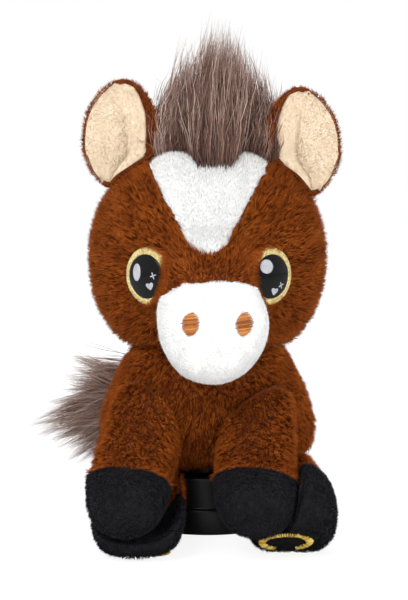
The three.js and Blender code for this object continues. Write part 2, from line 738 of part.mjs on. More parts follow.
function buildMane() {
  const crown = headAt.z + HEAD_CROWN;
  const tuftStations = MANE_CROWN_SHARES.map(([up, lean, wide]) => ({
    at: place(
      MANE_TIP_OFFSET * lean,
      HEAD_FORWARD * lean,
      THREE.MathUtils.lerp(crown, MANE_TIP_HEIGHT, up),
    ),
    wide: MANE_HALF_WIDTH * wide,
    deep: MANE_HALF_DEPTH * wide,
  }));
  const napeStations = MANE_NAPE_SHARES.map(([behind, up]) => ({
    at: place(0, (headAt.y + HEAD_NAPE) * behind, THREE.MathUtils.lerp(NAPE_MANE_LOW, crown, up)),
    wide: NAPE_MANE_PROUD,
    deep: NAPE_MANE_HALF_WIDTH,
  }));
  const tuft = hairForm(place(0, -1, 0), tuftStations);
  const nape = hairForm(SIDEWAYS, napeStations);
  const skull = swell(craniumShape, CLEARANCE);
  const ears = SIDES.map((side) => {
    return swept(earFur(side, CLEARANCE + CLEARANCE), earHinge(side), [-EAR_FLOP_LIMIT, 0, EAR_FLOP_LIMIT]);
  });
  addPiece("mane_crown", cut(limb(tuft), skull, ...ears), "hair");
  addPiece("mane_nape", cut(limb(nape), skull, limb(tuft, CLEARANCE)), "hair");
}

function buildTail() {
  const hinge = { at: place(0, TAIL_ROOT_BACK, TAIL_ROOT_HEIGHT), axis: UP };
  const stations = TAIL_SHARES.map(([reach, bow, fan, thick]) => ({
    at: place(
      -TAIL_REACH * reach,
      THREE.MathUtils.lerp(TAIL_ROOT_BACK, TAIL_TIP_BACK, reach) + TAIL_FAN_HALF_HEIGHT * bow,
      THREE.MathUtils.lerp(TAIL_ROOT_HEIGHT, TAIL_TIP_HEIGHT, reach),
    ),
    wide: TAIL_HALF_THICKNESS * thick,
    deep: THREE.MathUtils.lerp(TAIL_ROOT_HALF_HEIGHT, TAIL_FAN_HALF_HEIGHT, fan),
  }));
  const body = swept(torso(CLEARANCE), hinge, [-TAIL_SWING_LIMIT, 0, TAIL_SWING_LIMIT]);
  addPiece("tail_hair", cut(limb(hairForm(UP, stations)), body), "hair");
}

// Legs

const shoulderHinge = (side) => ({
  at: place(side.sign * SHOULDER_SPREAD, -SHOULDER_SEAM_FORWARD, SHOULDER_SEAM_HEIGHT),
  axis: SIDEWAYS,
});
const hipHinge = (side) => ({
  at: place(side.sign * HIP_SEAM_SPREAD, -HIP_SEAM_FORWARD, HIP_HEIGHT),
  axis: UP,
});

function frontLegShape(side) {
  const across = FRONT_HOOVES_OFFSET + side.sign * FRONT_HOOF_SPREAD;
  const shoulder = place(side.sign * SHOULDER_SPREAD, -SHOULDER_FORWARD, SHOULDER_HEIGHT);
  const seam = place(across, -FRONT_SEAM_FORWARD, FRONT_SEAM_HEIGHT);
  const toe = place(across, -FRONT_TOE_FORWARD, FRONT_TOE_HEIGHT);
  const [tilt, yaw] = [radians(FRONT_SEAM_TILT), radians(FRONT_SEAM_YAW)];
  return {
    face: place(0, -1, 0),
    bluntness: FRONT_LEG_BLUNTNESS_SHARE,
    power: ROUND_POWER_SHARE,
    rings: LIMB_RINGS,
    sides: LIMB_SIDES,
    seam,
    seamWay: place(-Math.sin(tilt) * Math.sin(yaw), -Math.sin(tilt) * Math.cos(yaw), -Math.cos(tilt)),
    stations: [
      { at: shoulder, wide: SHOULDER_HALF_WIDTH, deep: SHOULDER_HALF_DEPTH },
      {
        at: shoulder.clone().lerp(seam, LEG_BEND_SHARE),
        wide: FRONT_LEG_HALF_WIDTH,
        deep: FRONT_LEG_HALF_DEPTH,
      },
      { at: seam, wide: FRONT_WRIST_HALF_WIDTH, deep: FRONT_WRIST_HALF_DEPTH },
      { at: toe, wide: FRONT_HOOF_HALF_WIDTH, deep: FRONT_HOOF_HALF_DEPTH },
    ],
  };
}

function hindLegShape(side) {
  const across = HIND_HOOVES_OFFSET + side.sign * HIND_HOOF_SPREAD;
  const hip = place(side.sign * HIP_SPREAD, HIP_BACK, HIP_HEIGHT);
  const seam = place(across, -HIND_SEAM_FORWARD, HIND_HOOF_HEIGHT);
  const forward = side.sign > 0 ? HIND_LEFT_TOE_FORWARD : HIND_RIGHT_TOE_FORWARD;
  const hoofWidth = side.sign > 0 ? HIND_LEFT_HOOF_HALF_WIDTH : HIND_RIGHT_HOOF_HALF_WIDTH;
  const toe = place(across + side.sign * HIND_TOE_OFFSET, -forward, HIND_HOOF_HEIGHT);
  return {
    face: UP,
    bluntness: HIND_LEG_BLUNTNESS_SHARE,
    power: HIND_LEG_POWER_SHARE,
    rings: LIMB_RINGS,
    sides: LIMB_SIDES,
    seam,
    seamWay: toe.clone().sub(seam).normalize(),
    stations: [
      { at: hip, wide: HIP_HALF_WIDTH, deep: HIP_HALF_HEIGHT },
      {
        at: hip.clone().lerp(seam, LEG_BEND_SHARE),
        wide: HIND_THIGH_HALF_WIDTH,
        deep: HIND_THIGH_HALF_HEIGHT,
      },
      { at: seam, wide: HIND_ANKLE_HALF_WIDTH, deep: HIND_ANKLE_HALF_HEIGHT },
      { at: toe, wide: hoofWidth, deep: HIND_HOOF_HALF_HEIGHT },
    ],
  };
}

const underFloor = (height) => beyond(place(0, 0, height), place(0, 0, -1));

// A stuffed leg: its fur sleeve, its hoof cap and one filling through both. Each is kept clear of
// the leg's neighbours, and the cap and the filling of what is let into the hoof.
function buildLeg(leg, side, shape, neighbours, hoofCuts, fillingCuts) {
  const hoofSide = beyond(shape.seam, shape.seamWay);
  const sleeveEnd = shape.seam.clone().addScaledVector(shape.seamWay, -CLEARANCE);
  const sleeveSide = beyond(sleeveEnd, shape.seamWay.clone().negate());
  const sleeve = cut(limb(shape), limb(shape, -FUR_COVER)).intersect(sleeveSide);
  const hoof = cut(limb(shape), limb(shape, -HOOF_COVER)).intersect(hoofSide);
  const filling = limb(shape, -FUR_COVER - CLEARANCE);
  const floor = underFloor(0);
  addPiece(`${leg}_leg_${side.name}`, cut(sleeve, floor, neighbours), "brown_fur");
  addPiece(`${leg}_hoof_${side.name}`, cut(hoof, floor, neighbours, ...hoofCuts), "black_fur");
  addPiece(`${leg}_leg_filling_${side.name}`, cut(filling, neighbours, ...fillingCuts), "filling");
}

function buildFrontLeg(side) {
  const body = swept(torso(CLEARANCE), shoulderHinge(side), [-FRONT_SWING_LIMIT, 0]);
  buildLeg("front", side, frontLegShape(side), body, [], []);
}

// The sole's own frame: X across, Y towards the heel and Z into the hoof, from the heel's middle.
function soleFrame(side) {
  const shape = hindLegShape(side);
  const isLeft = side.sign > 0;
  const forward = isLeft ? SOLE_LEFT_HEEL_FORWARD : SOLE_RIGHT_HEEL_FORWARD;
  const heel = shape.seam.clone().addScaledVector(shape.seamWay, forward - HIND_SEAM_FORWARD);
  const yaw = Math.atan2(shape.seamWay.x, -shape.seamWay.y);
  const tilt = radians(isLeft ? SOLE_LEFT_TILT : SOLE_RIGHT_TILT);
  const turn = new THREE.Matrix4().makeRotationZ(yaw).multiply(new THREE.Matrix4().makeRotationX(-tilt));
  return new THREE.Matrix4().makeTranslation(heel.x - side.sign * SOLE_OFFSET, heel.y, 0).multiply(turn);
}

// A flat piece in the sole's frame, from one depth in the hoof to another.
function onSole(outline, side, from, to) {
  const geometry = new THREE.ExtrudeGeometry(outline, { depth: to - from, bevelEnabled: false });
  return solidFrom(geometry.translate(0, 0, from).applyMatrix4(soleFrame(side)));
}

function soleOutline(grow = 0) {
  const middle = -SOLE_MARGIN - SOLE_LENGTH / 2;
  const outline = new THREE.Shape();
  outline.absellipse(0, middle, SOLE_HALF_WIDTH + grow, SOLE_LENGTH / 2 + grow, 0, 2 * Math.PI);
  return new THREE.Shape(outline.getPoints(SOLE_STEPS + SOLE_STEPS));
}

// A horseshoe whose open end lies at the heel.
function horseshoeOutline() {
  const middle = -SOLE_MARGIN - SOLE_LENGTH / 2;
  const half = HORSESHOE_LENGTH / 2;
  const opening = radians(HORSESHOE_OPENING / 2);
  const [from, to] = [Math.PI / 2 + opening, (5 * Math.PI) / 2 - opening];
  const outer = new THREE.Path().absellipse(0, middle, HORSESHOE_HALF_WIDTH, half, from, to);
  const innerWidth = HORSESHOE_HALF_WIDTH - HORSESHOE_BAND;
  const inner = new THREE.Path().absellipse(0, middle, innerWidth, half - HORSESHOE_BAND, from, to);
  return new THREE.Shape([...outer.getPoints(SOLE_STEPS), ...inner.getPoints(SOLE_STEPS).reverse()]);
}

function buildHindLeg(side) {
  const swings = [0, -FRONT_SWING_LIMIT / 2, -FRONT_SWING_LIMIT];
  const front = limb(frontLegShape(side), HOOF_PRESS_CLEARANCE);
  const raised = join(...swings.map((degrees) => turned(front, shoulderHinge(side), degrees)));
  const body = join(torso(CLEARANCE), baseRoom(), raised);
  const neighbours = swept(body, hipHinge(side), [0, side.sign * HIND_SPLAY_LIMIT]);
  const patchFrom = HORSESHOE_THICKNESS + CLEARANCE;
  const patchTo = patchFrom + SOLE_THICKNESS;
  const ground = new THREE.Shape();
  ground.absellipse(0, 0, OVERRUN, OVERRUN, 0, 2 * Math.PI);
  const underSole = onSole(ground, side, -OVERRUN, 0);
  const pocket = onSole(soleOutline(CLEARANCE), side, -OVERRUN, patchTo + CLEARANCE);
  const underFilling = onSole(ground, side, -OVERRUN, HOOF_COVER + CLEARANCE);
  buildLeg("hind", side, hindLegShape(side), neighbours, [underSole, pocket], [underFilling]);
  const patch = cut(onSole(soleOutline(), side, patchFrom, patchTo), neighbours);
  const horseshoe = onSole(horseshoeOutline(), side, 0, HORSESHOE_THICKNESS);
  addPiece(`sole_patch_${side.name}`, patch, "black_fur");
  addPiece(`sole_horseshoe_${side.name}`, horseshoe, "gold_thread");
}

buildBase();
buildTorso();
buildHead();
SIDES.forEach(buildEar);
buildMane();
buildTail();
SIDES.forEach(buildFrontLeg);
SIDES.forEach(buildHindLeg);

export default toy;
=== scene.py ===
import math

import bmesh
import bpy
import numpy as np
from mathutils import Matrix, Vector
from mathutils.bvhtree import BVHTree
from mathutils.kdtree import KDTree


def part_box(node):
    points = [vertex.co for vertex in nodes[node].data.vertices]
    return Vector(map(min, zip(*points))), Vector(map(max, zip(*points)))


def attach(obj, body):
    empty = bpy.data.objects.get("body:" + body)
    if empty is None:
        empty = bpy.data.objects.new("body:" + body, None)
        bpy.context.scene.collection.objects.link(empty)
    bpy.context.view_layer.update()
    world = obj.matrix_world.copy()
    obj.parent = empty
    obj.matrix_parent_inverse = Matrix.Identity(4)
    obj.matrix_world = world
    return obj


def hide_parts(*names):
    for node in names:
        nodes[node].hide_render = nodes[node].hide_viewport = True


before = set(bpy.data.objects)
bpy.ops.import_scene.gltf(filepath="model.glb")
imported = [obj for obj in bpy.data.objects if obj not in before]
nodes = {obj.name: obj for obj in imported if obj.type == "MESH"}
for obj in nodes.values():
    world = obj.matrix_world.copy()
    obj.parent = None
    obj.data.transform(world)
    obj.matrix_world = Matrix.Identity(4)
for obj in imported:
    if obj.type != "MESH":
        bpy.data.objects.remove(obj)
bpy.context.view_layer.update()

MM = 0.001
SIDES = {"left": 1, "right": -1}
rng = np.random.default_rng(7)

# Camera
CAMERA_PLACE = (-1.35, -940, 198)
CAMERA_PITCH = -6.64
CAMERA_FOCAL_PIXELS = 2400
PHOTO_HEIGHT = 600
SENSOR = 36

# Studio, with each lamp's place, size and watts
LAMPS = {
    "key_light": ((-450, -750, 750), 500, 7.2),
    "fill_light": ((350, -800, 140), 600, 4.8),
    "back_light": ((100, 700, 700), 500, 3.6),
}
LAMP_TARGET = (0, 0, 90)
WORLD_LIGHT = 0.72
PAPER_GLOW_SHARE = 0.8

# Pile
HEAD_PILE = 3.4
BODY_PILE = 3.2
BLAZE_PILE = 2.2
MUZZLE_PILE = 1.1
HOOF_PILE = 1.4
EAR_PILE = 1.9
LINING_NAP = 0.38
SOLE_NAP = 0.7
BROWN_STRAND = 0.22
STRAND = 0.2
MUZZLE_STRAND = 0.17
COMB_MIDDLE = (1, -48, 88)
HEAD_MIDDLE = 1

# Skins
VOXEL = 1.1
SKIN_SMOOTHING = 80
BACKING = 0.7
CORE_INSET = 0.3
CORE_GAP = 0.6
CORE_ROUNDS = 3
SEAM_DIP = 0.3
FACES_IN_PIECE = 195000
NEAR_SKIN = 12
# Least height of the strands that the weight presses flat
PRESSED_HEIGHT = 0.3

# Eyes, as in the frame
EYE_SPREAD = 22.3
EYES_OFFSET = 0.45
EYE_HEIGHT = 102.2
EYE_FORWARD = 38.6
EYE_YAW = 40
EYE_RADIUS = 11.1
EYE_PUPIL_RADIUS = 8.3
EYE_DOME = 2.4
EYE_RIM = 1.2
EYE_STEM_RADIUS = 2.4
EYE_STEM_LENGTH = 11
EYE_SIDES = 96
EYE_GAP = 0.12
PRINT_LIFT = 0.04

# Muzzle's low corners
CHIN_TOP = 87
CHIN_HEIGHT = 15.6
CHIN_BACK = -42
CHIN_FADE = 14
CHIN_SHARE = 0.14

# Lobes at the blaze's top
LOBE_MIDDLE = 0.8
LOBE_SPREAD = 15
LOBE_WIDTH = 8
LOBE_BACK = -15
LOBE_LENGTH = 9
LOBE_HEIGHT = 2.2
LOBE_FOOT = 120
LOBE_FADE = 15
BLAZE_SHOULDER = 18.4
BLAZE_SHOULDER_HEIGHT = 133.7
BLAZE_SLOPE = 0.45
BLAZE_TIP = 115
BLAZE_CROWN = 139
BLAZE_EDGE = 3
BLAZE_REACH = 12

# Ears, in the frame's outline
EAR_REST = -6.5
EAR_CUP = 3.6
EAR_FOLD = 4.6
# Painted shade: how many shades darker the lining's strands are drawn in the ear's crease
EAR_CREASE_PAINTED_SHADE = 3.2
EAR_THICKNESS = 5.4
EAR_SMOOTHING = 6
EAR_CREASE_ROOT = -0.42
EAR_CREASE_TIP = 0.2
EAR_CREASE_OUTER = 0.3
EAR_CREASE_INNER = 0.045
LINING_OUTER_SHARE = 0.97
LINING_TOP_SHARE = 0.975
LINING_LOW_SHARE = 0.04
LINING_INNER_SHARE = 0.66

# Base, as in the frame
BASE_RADIUS = 28
BASE_RIM_HEIGHT = 9.8
BASE_DRUM_RADIUS = 25.4
BASE_HEIGHT = 21.8
BASE_SPIGOT_RADIUS = 15
BASE_SPIGOT_HEIGHT = 7
BASE_WALL = 2
BASE_SIDES = 128

# Satin stitches
NOSTRIL_THREAD = 0.62
NOSTRIL_BULGE = 0.9
STITCH_SEAT = 0.6
HORSESHOE_THREAD = 0.72
HORSESHOE_BULGE = 0.4
HORSESHOE_OPENING = 56
HORSESHOE_BAND = 2.6

# Crown mane, from its hem on the head to its locks' tips
CROWN_MIDDLE = 2.8
CROWN_HALF_WIDTH = 22.5
CROWN_FOOT = 130
CROWN_BACK = 11
CROWN_HEM = -23.5
CROWN_HEM_RISE = 14
CROWN_HEM_FADE = 9
CROWN_DIP = 5
CROWN_TOP = 200
CROWN_FALL = 32
CROWN_TIPS_MIDDLE = 4
CROWN_TIPS_REACH = 23
CROWN_CORE_TOP = 150

# Nape mane
NAPE_HALF_WIDTH = 7.5
NAPE_FRONT = 6
NAPE_FOOT = 88
NAPE_CORE_MIDDLE = (0, 0, 120)

# Tail: how far its locks reach at each angle over the level
TAIL_ROOT = np.array([0, 36, 43.0])
TAIL_DEPTH = 3.6
TAIL_ANGLES = (-32, -22, -15, -6, 0, 5, 12, 18)
TAIL_REACHES = (54, 67, 71, 77, 66, 60, 62, 68)
TAIL_STRAND = 0.24

# Collars of pile over the eyes' inner edges: middle and half width in degrees, and overlap
COLLARS = {"left": (-5, 76, 4.8), "right": (-19, 68, 4.2)}
COLLAR_BAND = (0.2, 3)
COLLAR_RISE = 1.7
COLLAR_ARCH = 1.6


def linear(red, green, blue):
    """A colour as it is seen, from 0 to 255, as the linear colour that a shader takes."""
    shares = np.array([red, green, blue]) / 255
    low, high = shares / 12.92, ((shares + 0.055) / 1.055) ** 2.4
    return (*np.where(shares <= 0.04045, low, high).tolist(), 1)


# Materials


def principled(name, roughness, values):
    made = bpy.data.materials.new(name)
    made.use_nodes = True
    shader = made.node_tree.nodes["Principled BSDF"]
    shader.inputs["Roughness"].default_value = roughness
    for socket, value in values.items():
        shader.inputs[socket].default_value = value
    return made, shader


def wired(tree, kind, inputs={}):
    """A new node of a tree, each input set to a value or linked to another node's output."""
    made = tree.nodes.new(kind)
    for socket, value in inputs.items():
        if isinstance(value, bpy.types.NodeSocket):
            tree.links.new(value, made.inputs[socket])
        else:
            made.inputs[socket].default_value = value
    return made


def mottled(name, colours, scale, roughness=0.8, bump=0.0, values={}, cells=False):
    """A shader whose colour drifts between colours with a fine noise, with a bump of its own."""
    made, shader = principled(name, roughness, values)
    tree = made.node_tree
    looks = {"Vector": wired(tree, "ShaderNodeTexCoord").outputs["Object"], "Scale": scale}
    if cells:
        value = wired(tree, "ShaderNodeTexVoronoi", looks).outputs["Color"]
    else:
        value = wired(tree, "ShaderNodeTexNoise", {**looks, "Detail": 6}).outputs["Fac"]
    ramp = wired(tree, "ShaderNodeValToRGB", {"Fac": value})
    stops = ramp.color_ramp.elements
    stops[0].position, stops[1].position = (0.05, 0.95) if cells else (0.3, 0.7)
    stops[0].color, stops[1].color = linear(*colours[0]), linear(*colours[-1])
    if len(colours) > 2:
        stops.new(0.5).color = linear(*colours[1])
    tree.links.new(ramp.outputs["Color"], shader.inputs["Base Color"])
    if bump:
        relief = {"Strength": bump, "Distance": 0.3 * MM, "Height": value}
        tree.links.new(wired(tree, "ShaderNodeBump", relief).outputs["Normal"], shader.inputs["Normal"])
    return made


def shades(name, colours, roughness, specular, metallic=0):
    """One plain material for each colour, from the darkest root to the lightest tip."""
    result = []
    for i, colour in enumerate(colours):
        values = {"Base Color": linear(*colour), "Specular IOR Level": specular, "Metallic": metallic}
        result.append(principled(f"{name}_{i}", roughness, values)[0])
    return result


BROWN = [(76, 30, 7), (98, 43, 10), (118, 55, 13), (136, 65, 17), (156, 79, 23), (178, 96, 33)]
WHITE = [(246, 246, 245), (250, 250, 249), (252, 252, 251), (254, 254, 253)]
BLACK = [(14, 14, 16), (22, 22, 25), (32, 32, 36), (44, 44, 49)]
HAIR = [(36, 19, 15), (60, 36, 29), (90, 60, 49), (122, 90, 78), (156, 127, 114), (196, 172, 160)]
CREAM = [(120, 96, 70), (152, 128, 100), (184, 162, 134), (212, 192, 165)]
CREAM += [(222, 204, 179), (230, 214, 191)]
TAN = [(130, 76, 32), (168, 102, 50), (190, 128, 70)]
GOLD = [(176, 138, 44), (212, 176, 70), (236, 208, 110)]

brown_strands = shades("brown_pile", BROWN, 0.75, 0.08)
white_strands = shades("white_pile", WHITE, 0.85, 0.1)
black_strands = shades("black_pile", BLACK, 0.75, 0.12)
cream_strands = shades("cream_nap", CREAM, 0.85, 0.1)
hair_strands = shades("long_hair", HAIR, 0.45, 0.3)
tan_threads = shades("tan_thread", TAN, 0.5, 0.2)
gold_threads = shades("gold_thread", GOLD, 0.35, 0.5, 0.35)

dim = {"Specular IOR Level": 0.2}
brown_backing = mottled("brown_backing", [(70, 28, 6), (94, 41, 9), (116, 54, 14)], 300, 0.95, 0.6, dim)
white_backing = mottled("white_backing", [(248, 248, 247), (253, 253, 252)], 400, 0.95, 0.3, dim)
black_backing = mottled("black_backing", [(10, 10, 12), (24, 24, 27)], 400, 0.95, 0.5, dim)
cream_backing = mottled("cream_backing", [(210, 190, 163), (222, 205, 181)], 260, 0.95, 0.25, dim)
hair_backing = mottled("hair_backing", [(30, 18, 16), (54, 38, 34)], 300, 0.9, 0.4)
base_plastic = mottled("base_plastic", [(8, 8, 9), (14, 14, 15)], 60, 0.35, 0.04, dim)
fibre = mottled("fibre_filling", [(214, 211, 204), (244, 242, 238)], 150, 1.0, 0.8)
hardware = mottled("eye_hardware", [(24, 24, 26), (40, 40, 42)], 90, 0.55, 0.1)
glassy = {"Specular IOR Level": 0.1, "Coat Weight": 0.12, "Coat Roughness": 0.05}
pupil_black = mottled("pupil_black", [(3, 4, 5), (9, 10, 11)], 120, 0.12, 0, glassy)
eye_print = mottled("eye_print", [(158, 158, 164), (178, 178, 184)], 500, 0.3, 0, glassy)
glitter_looks = {"Metallic": 0.55, "Coat Weight": 0.8, "Coat Roughness": 0.05}
GLITTER = [(150, 118, 44), (216, 190, 104), (252, 243, 190)]
glitter = mottled("eye_glitter", GLITTER, 2600, 0.25, 1.0, glitter_looks, cells=True)

# Meshes


def placed(name, data):
    made = bpy.data.objects.new(name, data)
    bpy.context.scene.collection.objects.link(made)
    return made


def add_object(name, mesh, materials, body, replaced=()):
    made = placed(name, mesh)
    for material in materials:
        mesh.materials.append(material)
    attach(made, body)
    if replaced:
        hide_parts(*replaced)
    return made


def mesh_from(name, points, loops, starts, material_index=None):
    """A mesh from points in millimetres, the corner list and the corner where each face starts."""
    mesh = bpy.data.meshes.new(name)
    mesh.vertices.add(len(points))
    mesh.vertices.foreach_set("co", (np.asarray(points) * MM).astype(np.float32).ravel())
    mesh.loops.add(len(loops))
    mesh.loops.foreach_set("vertex_index", np.asarray(loops, np.int32))
    mesh.polygons.add(len(starts))
    mesh.polygons.foreach_set("loop_start", np.asarray(starts, np.int32))
    if material_index is not None:
        mesh.polygons.foreach_set("material_index", np.asarray(material_index, np.int32))
    mesh.shade_smooth()
    mesh.update(calc_edges=True)
    return mesh


def listed(faces):
    """The corner list of some faces, and the corner where each of them starts."""
    return np.array(sum(faces, [])), np.cumsum([0, *map(len, faces[:-1])])


def set_corners(mesh, points):
    mesh.vertices.foreach_set("co", (points * MM).astype(np.float32).ravel())
    mesh.update()


def rows_of(items, field, width, kind=float):
    """One field of a mesh's items, as rows of a width."""
    values = np.zeros(len(items) * width, kind)
    items.foreach_get(field, values)
    return values.reshape(-1, width)


def corners_of(mesh):
    return rows_of(mesh.vertices, "co", 3) / MM


def normals_of(mesh):
    return rows_of(mesh.vertex_normals, "vector", 3)


def edges_of(mesh):
    return rows_of(mesh.edges, "vertices", 2, np.int32)


def triangles_of(mesh):
    mesh.calc_loop_triangles()
    return rows_of(mesh.loop_triangles, "vertices", 3, np.int32)


def faces_of(mesh):
    """The corner list of a mesh's faces, and the corner where each of them starts."""
    corner = rows_of(mesh.loops, "vertex_index", 1, np.int32)[:, 0]
    return corner, rows_of(mesh.polygons, "loop_start", 1, np.int32)[:, 0]


def tree_of(mesh):
    return BVHTree.FromPolygons(corners_of(mesh).tolist(), triangles_of(mesh).tolist())


def unit(ways):
    return ways / np.maximum(np.linalg.norm(ways, axis=-1, keepdims=True), 1e-9)


def turns(count):
    """Angles evenly spaced round a circle."""
    return np.arange(count) * 2 * math.pi / count


def along(ways, onto):
    return (ways * onto).sum(-1, keepdims=True) * onto


def curved(start, handle, end, share):
    return (1 - share) ** 2 * start + 2 * share * (1 - share) * handle + share**2 * end


def evaluated(mesh, kind, **settings):
    """The mesh after one modifier of a kind, with its settings."""
    holder = placed("holder", mesh)
    modifier = holder.modifiers.new(kind, kind)
    for key, value in settings.items():
        setattr(modifier, key, value)
    graph = bpy.context.evaluated_depsgraph_get()
    made = bpy.data.meshes.new_from_object(holder.evaluated_get(graph), depsgraph=graph)
    bpy.data.objects.remove(holder)
    return made


def ring_faces(rings, sides):
    """The faces of stacked rings, closed by a last but one point below and a last point above."""
    top, last, faces = rings * sides + 1, (rings - 1) * sides, []
    for side in range(sides):
        after = (side + 1) % sides
        faces.append([top - 1, after, side])
        for low in range(0, last, sides):
            faces.append([low + side, low + after, low + sides + after, low + sides + side])
        faces.append([last + side, last + after, top])
    return faces


def lathe_mesh(name, profile, sides):
    """A closed turned mesh about +Z from a profile of radius and height that ends on the axis."""
    profile = np.asarray(profile, float)
    turn = turns(sides)
    rim = profile[1:-1]
    height = np.repeat(rim[:, 1:], sides, 1)
    points = np.stack([rim[:, :1] * np.cos(turn), rim[:, :1] * np.sin(turn), height], -1).reshape(-1, 3)
    points = np.concatenate([points, [[0, 0, profile[0, 1]], [0, 0, profile[-1, 1]]]])
    return mesh_from(name, points, *listed(ring_faces(len(rim), sides)))


def rounded(corners, radius, steps=4):
    """A profile with each inner corner rounded off."""
    corners = np.asarray(corners, float)
    result = [corners[0]]
    for before, at, after in zip(corners[:-2], corners[1:-1], corners[2:]):
        back, ahead = before - at, after - at
        reach = min(radius, 0.45 * np.linalg.norm(back), 0.45 * np.linalg.norm(ahead))
        start, end = at + unit(back) * reach, at + unit(ahead) * reach
        result += [curved(start, at, end, share) for share in np.linspace(0, 1, steps)]
    return [*result, corners[-1]]


# Skins


def fused(name, parts, smoothing):
    """The outer surface of several frame nodes together, remeshed, with the facets taken out."""
    points, loops, starts = [], [], []
    for part in parts:
        mesh = nodes[part].data
        corner, start = faces_of(mesh)
        starts.append(start + sum(len(one) for one in loops))
        loops.append(corner + sum(len(one) for one in points))
        points.append(corners_of(mesh))
    rough = mesh_from(name, *(np.concatenate(parts) for parts in (points, loops, starts)))
    fine = outermost(evaluated(rough, "REMESH", mode="VOXEL", voxel_size=VOXEL * MM))
    start = corners_of(fine)
    smooth = spread_evenly(fine, start, smoothing)
    set_corners(fine, smooth - spread_evenly(fine, smooth - start, smoothing))
    return fine


def outermost(mesh):
    """Only the island of the mesh with the most faces, which is the outside."""
    work = bmesh.new()
    work.from_mesh(mesh)
    left, largest = set(work.faces), []
    while left:
        island, edge = [], [left.pop()]
        while edge:
            face = edge.pop()
            island.append(face)
            near = {other for side in face.edges for other in side.link_faces} & left
            left -= near
            edge += near
        if len(island) > len(largest):
            largest = island
    keep = set(largest)
    bmesh.ops.delete(work, geom=[face for face in work.faces if face not in keep], context="FACES")
    work.to_mesh(mesh)
    work.free()
    return mesh


def far_from(points, name):
    """How far each point lies from the surface of a frame node."""
    tree = tree_of(nodes[name].data)
    return np.array([tree.find_nearest(point)[3] for point in points])


def zone_fields(mesh, zones):
    """For each point and zone, how far the zone's frame node is, less the zone's reach."""
    if len(zones) == 1:
        return np.zeros((len(mesh.vertices), 1))
    points = corners_of(mesh)
    far = np.array([far_from(points, zone.node) - zone.reach for zone in zones])
    return spread_evenly(mesh, far.T, 3)


def spread_evenly(mesh, values, rounds):
    """Values at the vertices, evened out with their neighbours' over the edges."""
    a, b = edges_of(mesh).T
    size = len(values)
    columns = np.array(values, float).reshape(size, -1).T.copy()
    count = np.maximum(np.bincount(a, minlength=size) + np.bincount(b, minlength=size), 1)
    for column in columns:
        for _ in range(rounds):
            total = np.bincount(a, column[b], size) + np.bincount(b, column[a], size)
            column += 0.5 * (total / count - column)
    return columns.T.reshape(np.shape(values))


class Zone:
    """One fabric panel of a skin: its frame node, its looks and how its pile grows."""

    rise, reach, clump = 0.75, 0.0, 0.0
    lift, own, drifting = 0.16, 0.55, 1.0

    def __init__(self, *looks, **others):
        names = "node", "pile", "backing", "strands", "slot", "width", "per_mm2", "lay"
        self.__dict__.update(zip(names, looks), **others)


brown_looks = brown_backing, brown_strands, "brown_fur"
white_looks = white_backing, white_strands, "white_fur"
black_looks = black_backing, black_strands, "black_fur"
cream_looks = cream_backing, cream_strands, "ear_lining"


def brown_zone(node, pile):
    return Zone(node, pile, *brown_looks, BROWN_STRAND, 4.2, 0.75, clump=0.55)


def hoof_zone(node, pile=HOOF_PILE):
    return Zone(node, pile, *black_looks, STRAND, 4, 0.5, rise=0.3, clump=0.4)


skins = {}


def make_skin(name, body, zones, others, shape=None, bias=None):
    """A fused skin of some frame nodes, dressed in its panels, with its shape and fields touched up."""
    mesh = fused(name, [zone.node for zone in zones] + others, SKIN_SMOOTHING)
    fields = zone_fields(mesh, zones)
    if bias:
        fields = fields + bias(corners_of(mesh))
    if shape:
        set_corners(mesh, shape(corners_of(mesh)))
    dress(name, body, zones, mesh, fields)


def dress(name, body, zones, mesh, fields):
    """Splits a skin into its panels, each inset by its pile. The lowest field at a place gives its
    zone, and a last field shifts the pile's shades: painted shade, darker in the ears' creases."""
    points, ways = corners_of(mesh), normals_of(mesh)
    zone_at, outer = fields[:, : len(zones)].argmin(1), tree_of(mesh)
    inset = np.array([zone.pile * zone.rise for zone in zones])[zone_at]
    depth = inset.max()
    edges = edges_of(mesh)
    seam = np.zeros(len(points))
    seam[edges[zone_at[edges[:, 0]] != zone_at[edges[:, 1]]].ravel()] = 1
    inset = spread_evenly(mesh, inset, 1) + SEAM_DIP * spread_evenly(mesh, seam, 2)
    points = points - ways * inset[:, None]
    set_corners(mesh, points)
    corner, start = faces_of(mesh)
    size = np.diff(np.append(start, len(corner)))
    face_zone = (np.add.reduceat(fields[corner, : len(zones)], start) / size[:, None]).argmin(1)
    for index, zone in enumerate(zones):
        panel = bmesh.new()
        panel.from_mesh(mesh)
        panel.faces.ensure_lookup_table()
        drop = [panel.faces[i] for i in np.nonzero(face_zone != index)[0]]
        bmesh.ops.delete(panel, geom=drop, context="FACES")
        sheet = bpy.data.meshes.new(zone.node)
        panel.to_mesh(sheet)
        panel.free()
        thick = evaluated(sheet, "SOLIDIFY", thickness=BACKING * MM, offset=-1)
        thick.shade_smooth()
        piece = add_object(f"{zone.node}_skin", thick, [zone.backing], body, [zone.node])
    box = points.min(0) - NEAR_SKIN, points.max(0) + NEAR_SKIN
    skins[name] = dict(mesh=mesh, body=body, zones=zones, fields=fields, box=box)
    skins[name].update(tree=tree_of(mesh), outer=outer, depth=depth)


def make_core(node, body, inset, material, shape=None, skin=None):
    """What lies under a skin or hair: the frame's own node, softened and a little smaller."""
    mesh = fused(node, [node], 30)
    points = corners_of(mesh) - normals_of(mesh) * inset
    for _ in range(CORE_ROUNDS if skin else 0):
        for i, point in enumerate(points):
            at, way, _, _ = skins[skin]["tree"].find_nearest(point)
            short = BACKING + CORE_GAP + (Vector(point) - at).dot(way)
            if short > 0:
                points[i] -= np.array(way) * short
        points = spread_evenly(mesh, points, 2)
    set_corners(mesh, shape(points) if shape else points)
    mesh.shade_smooth()
    add_object(f"{node}_core", mesh, [material], body, [node])


# Pile


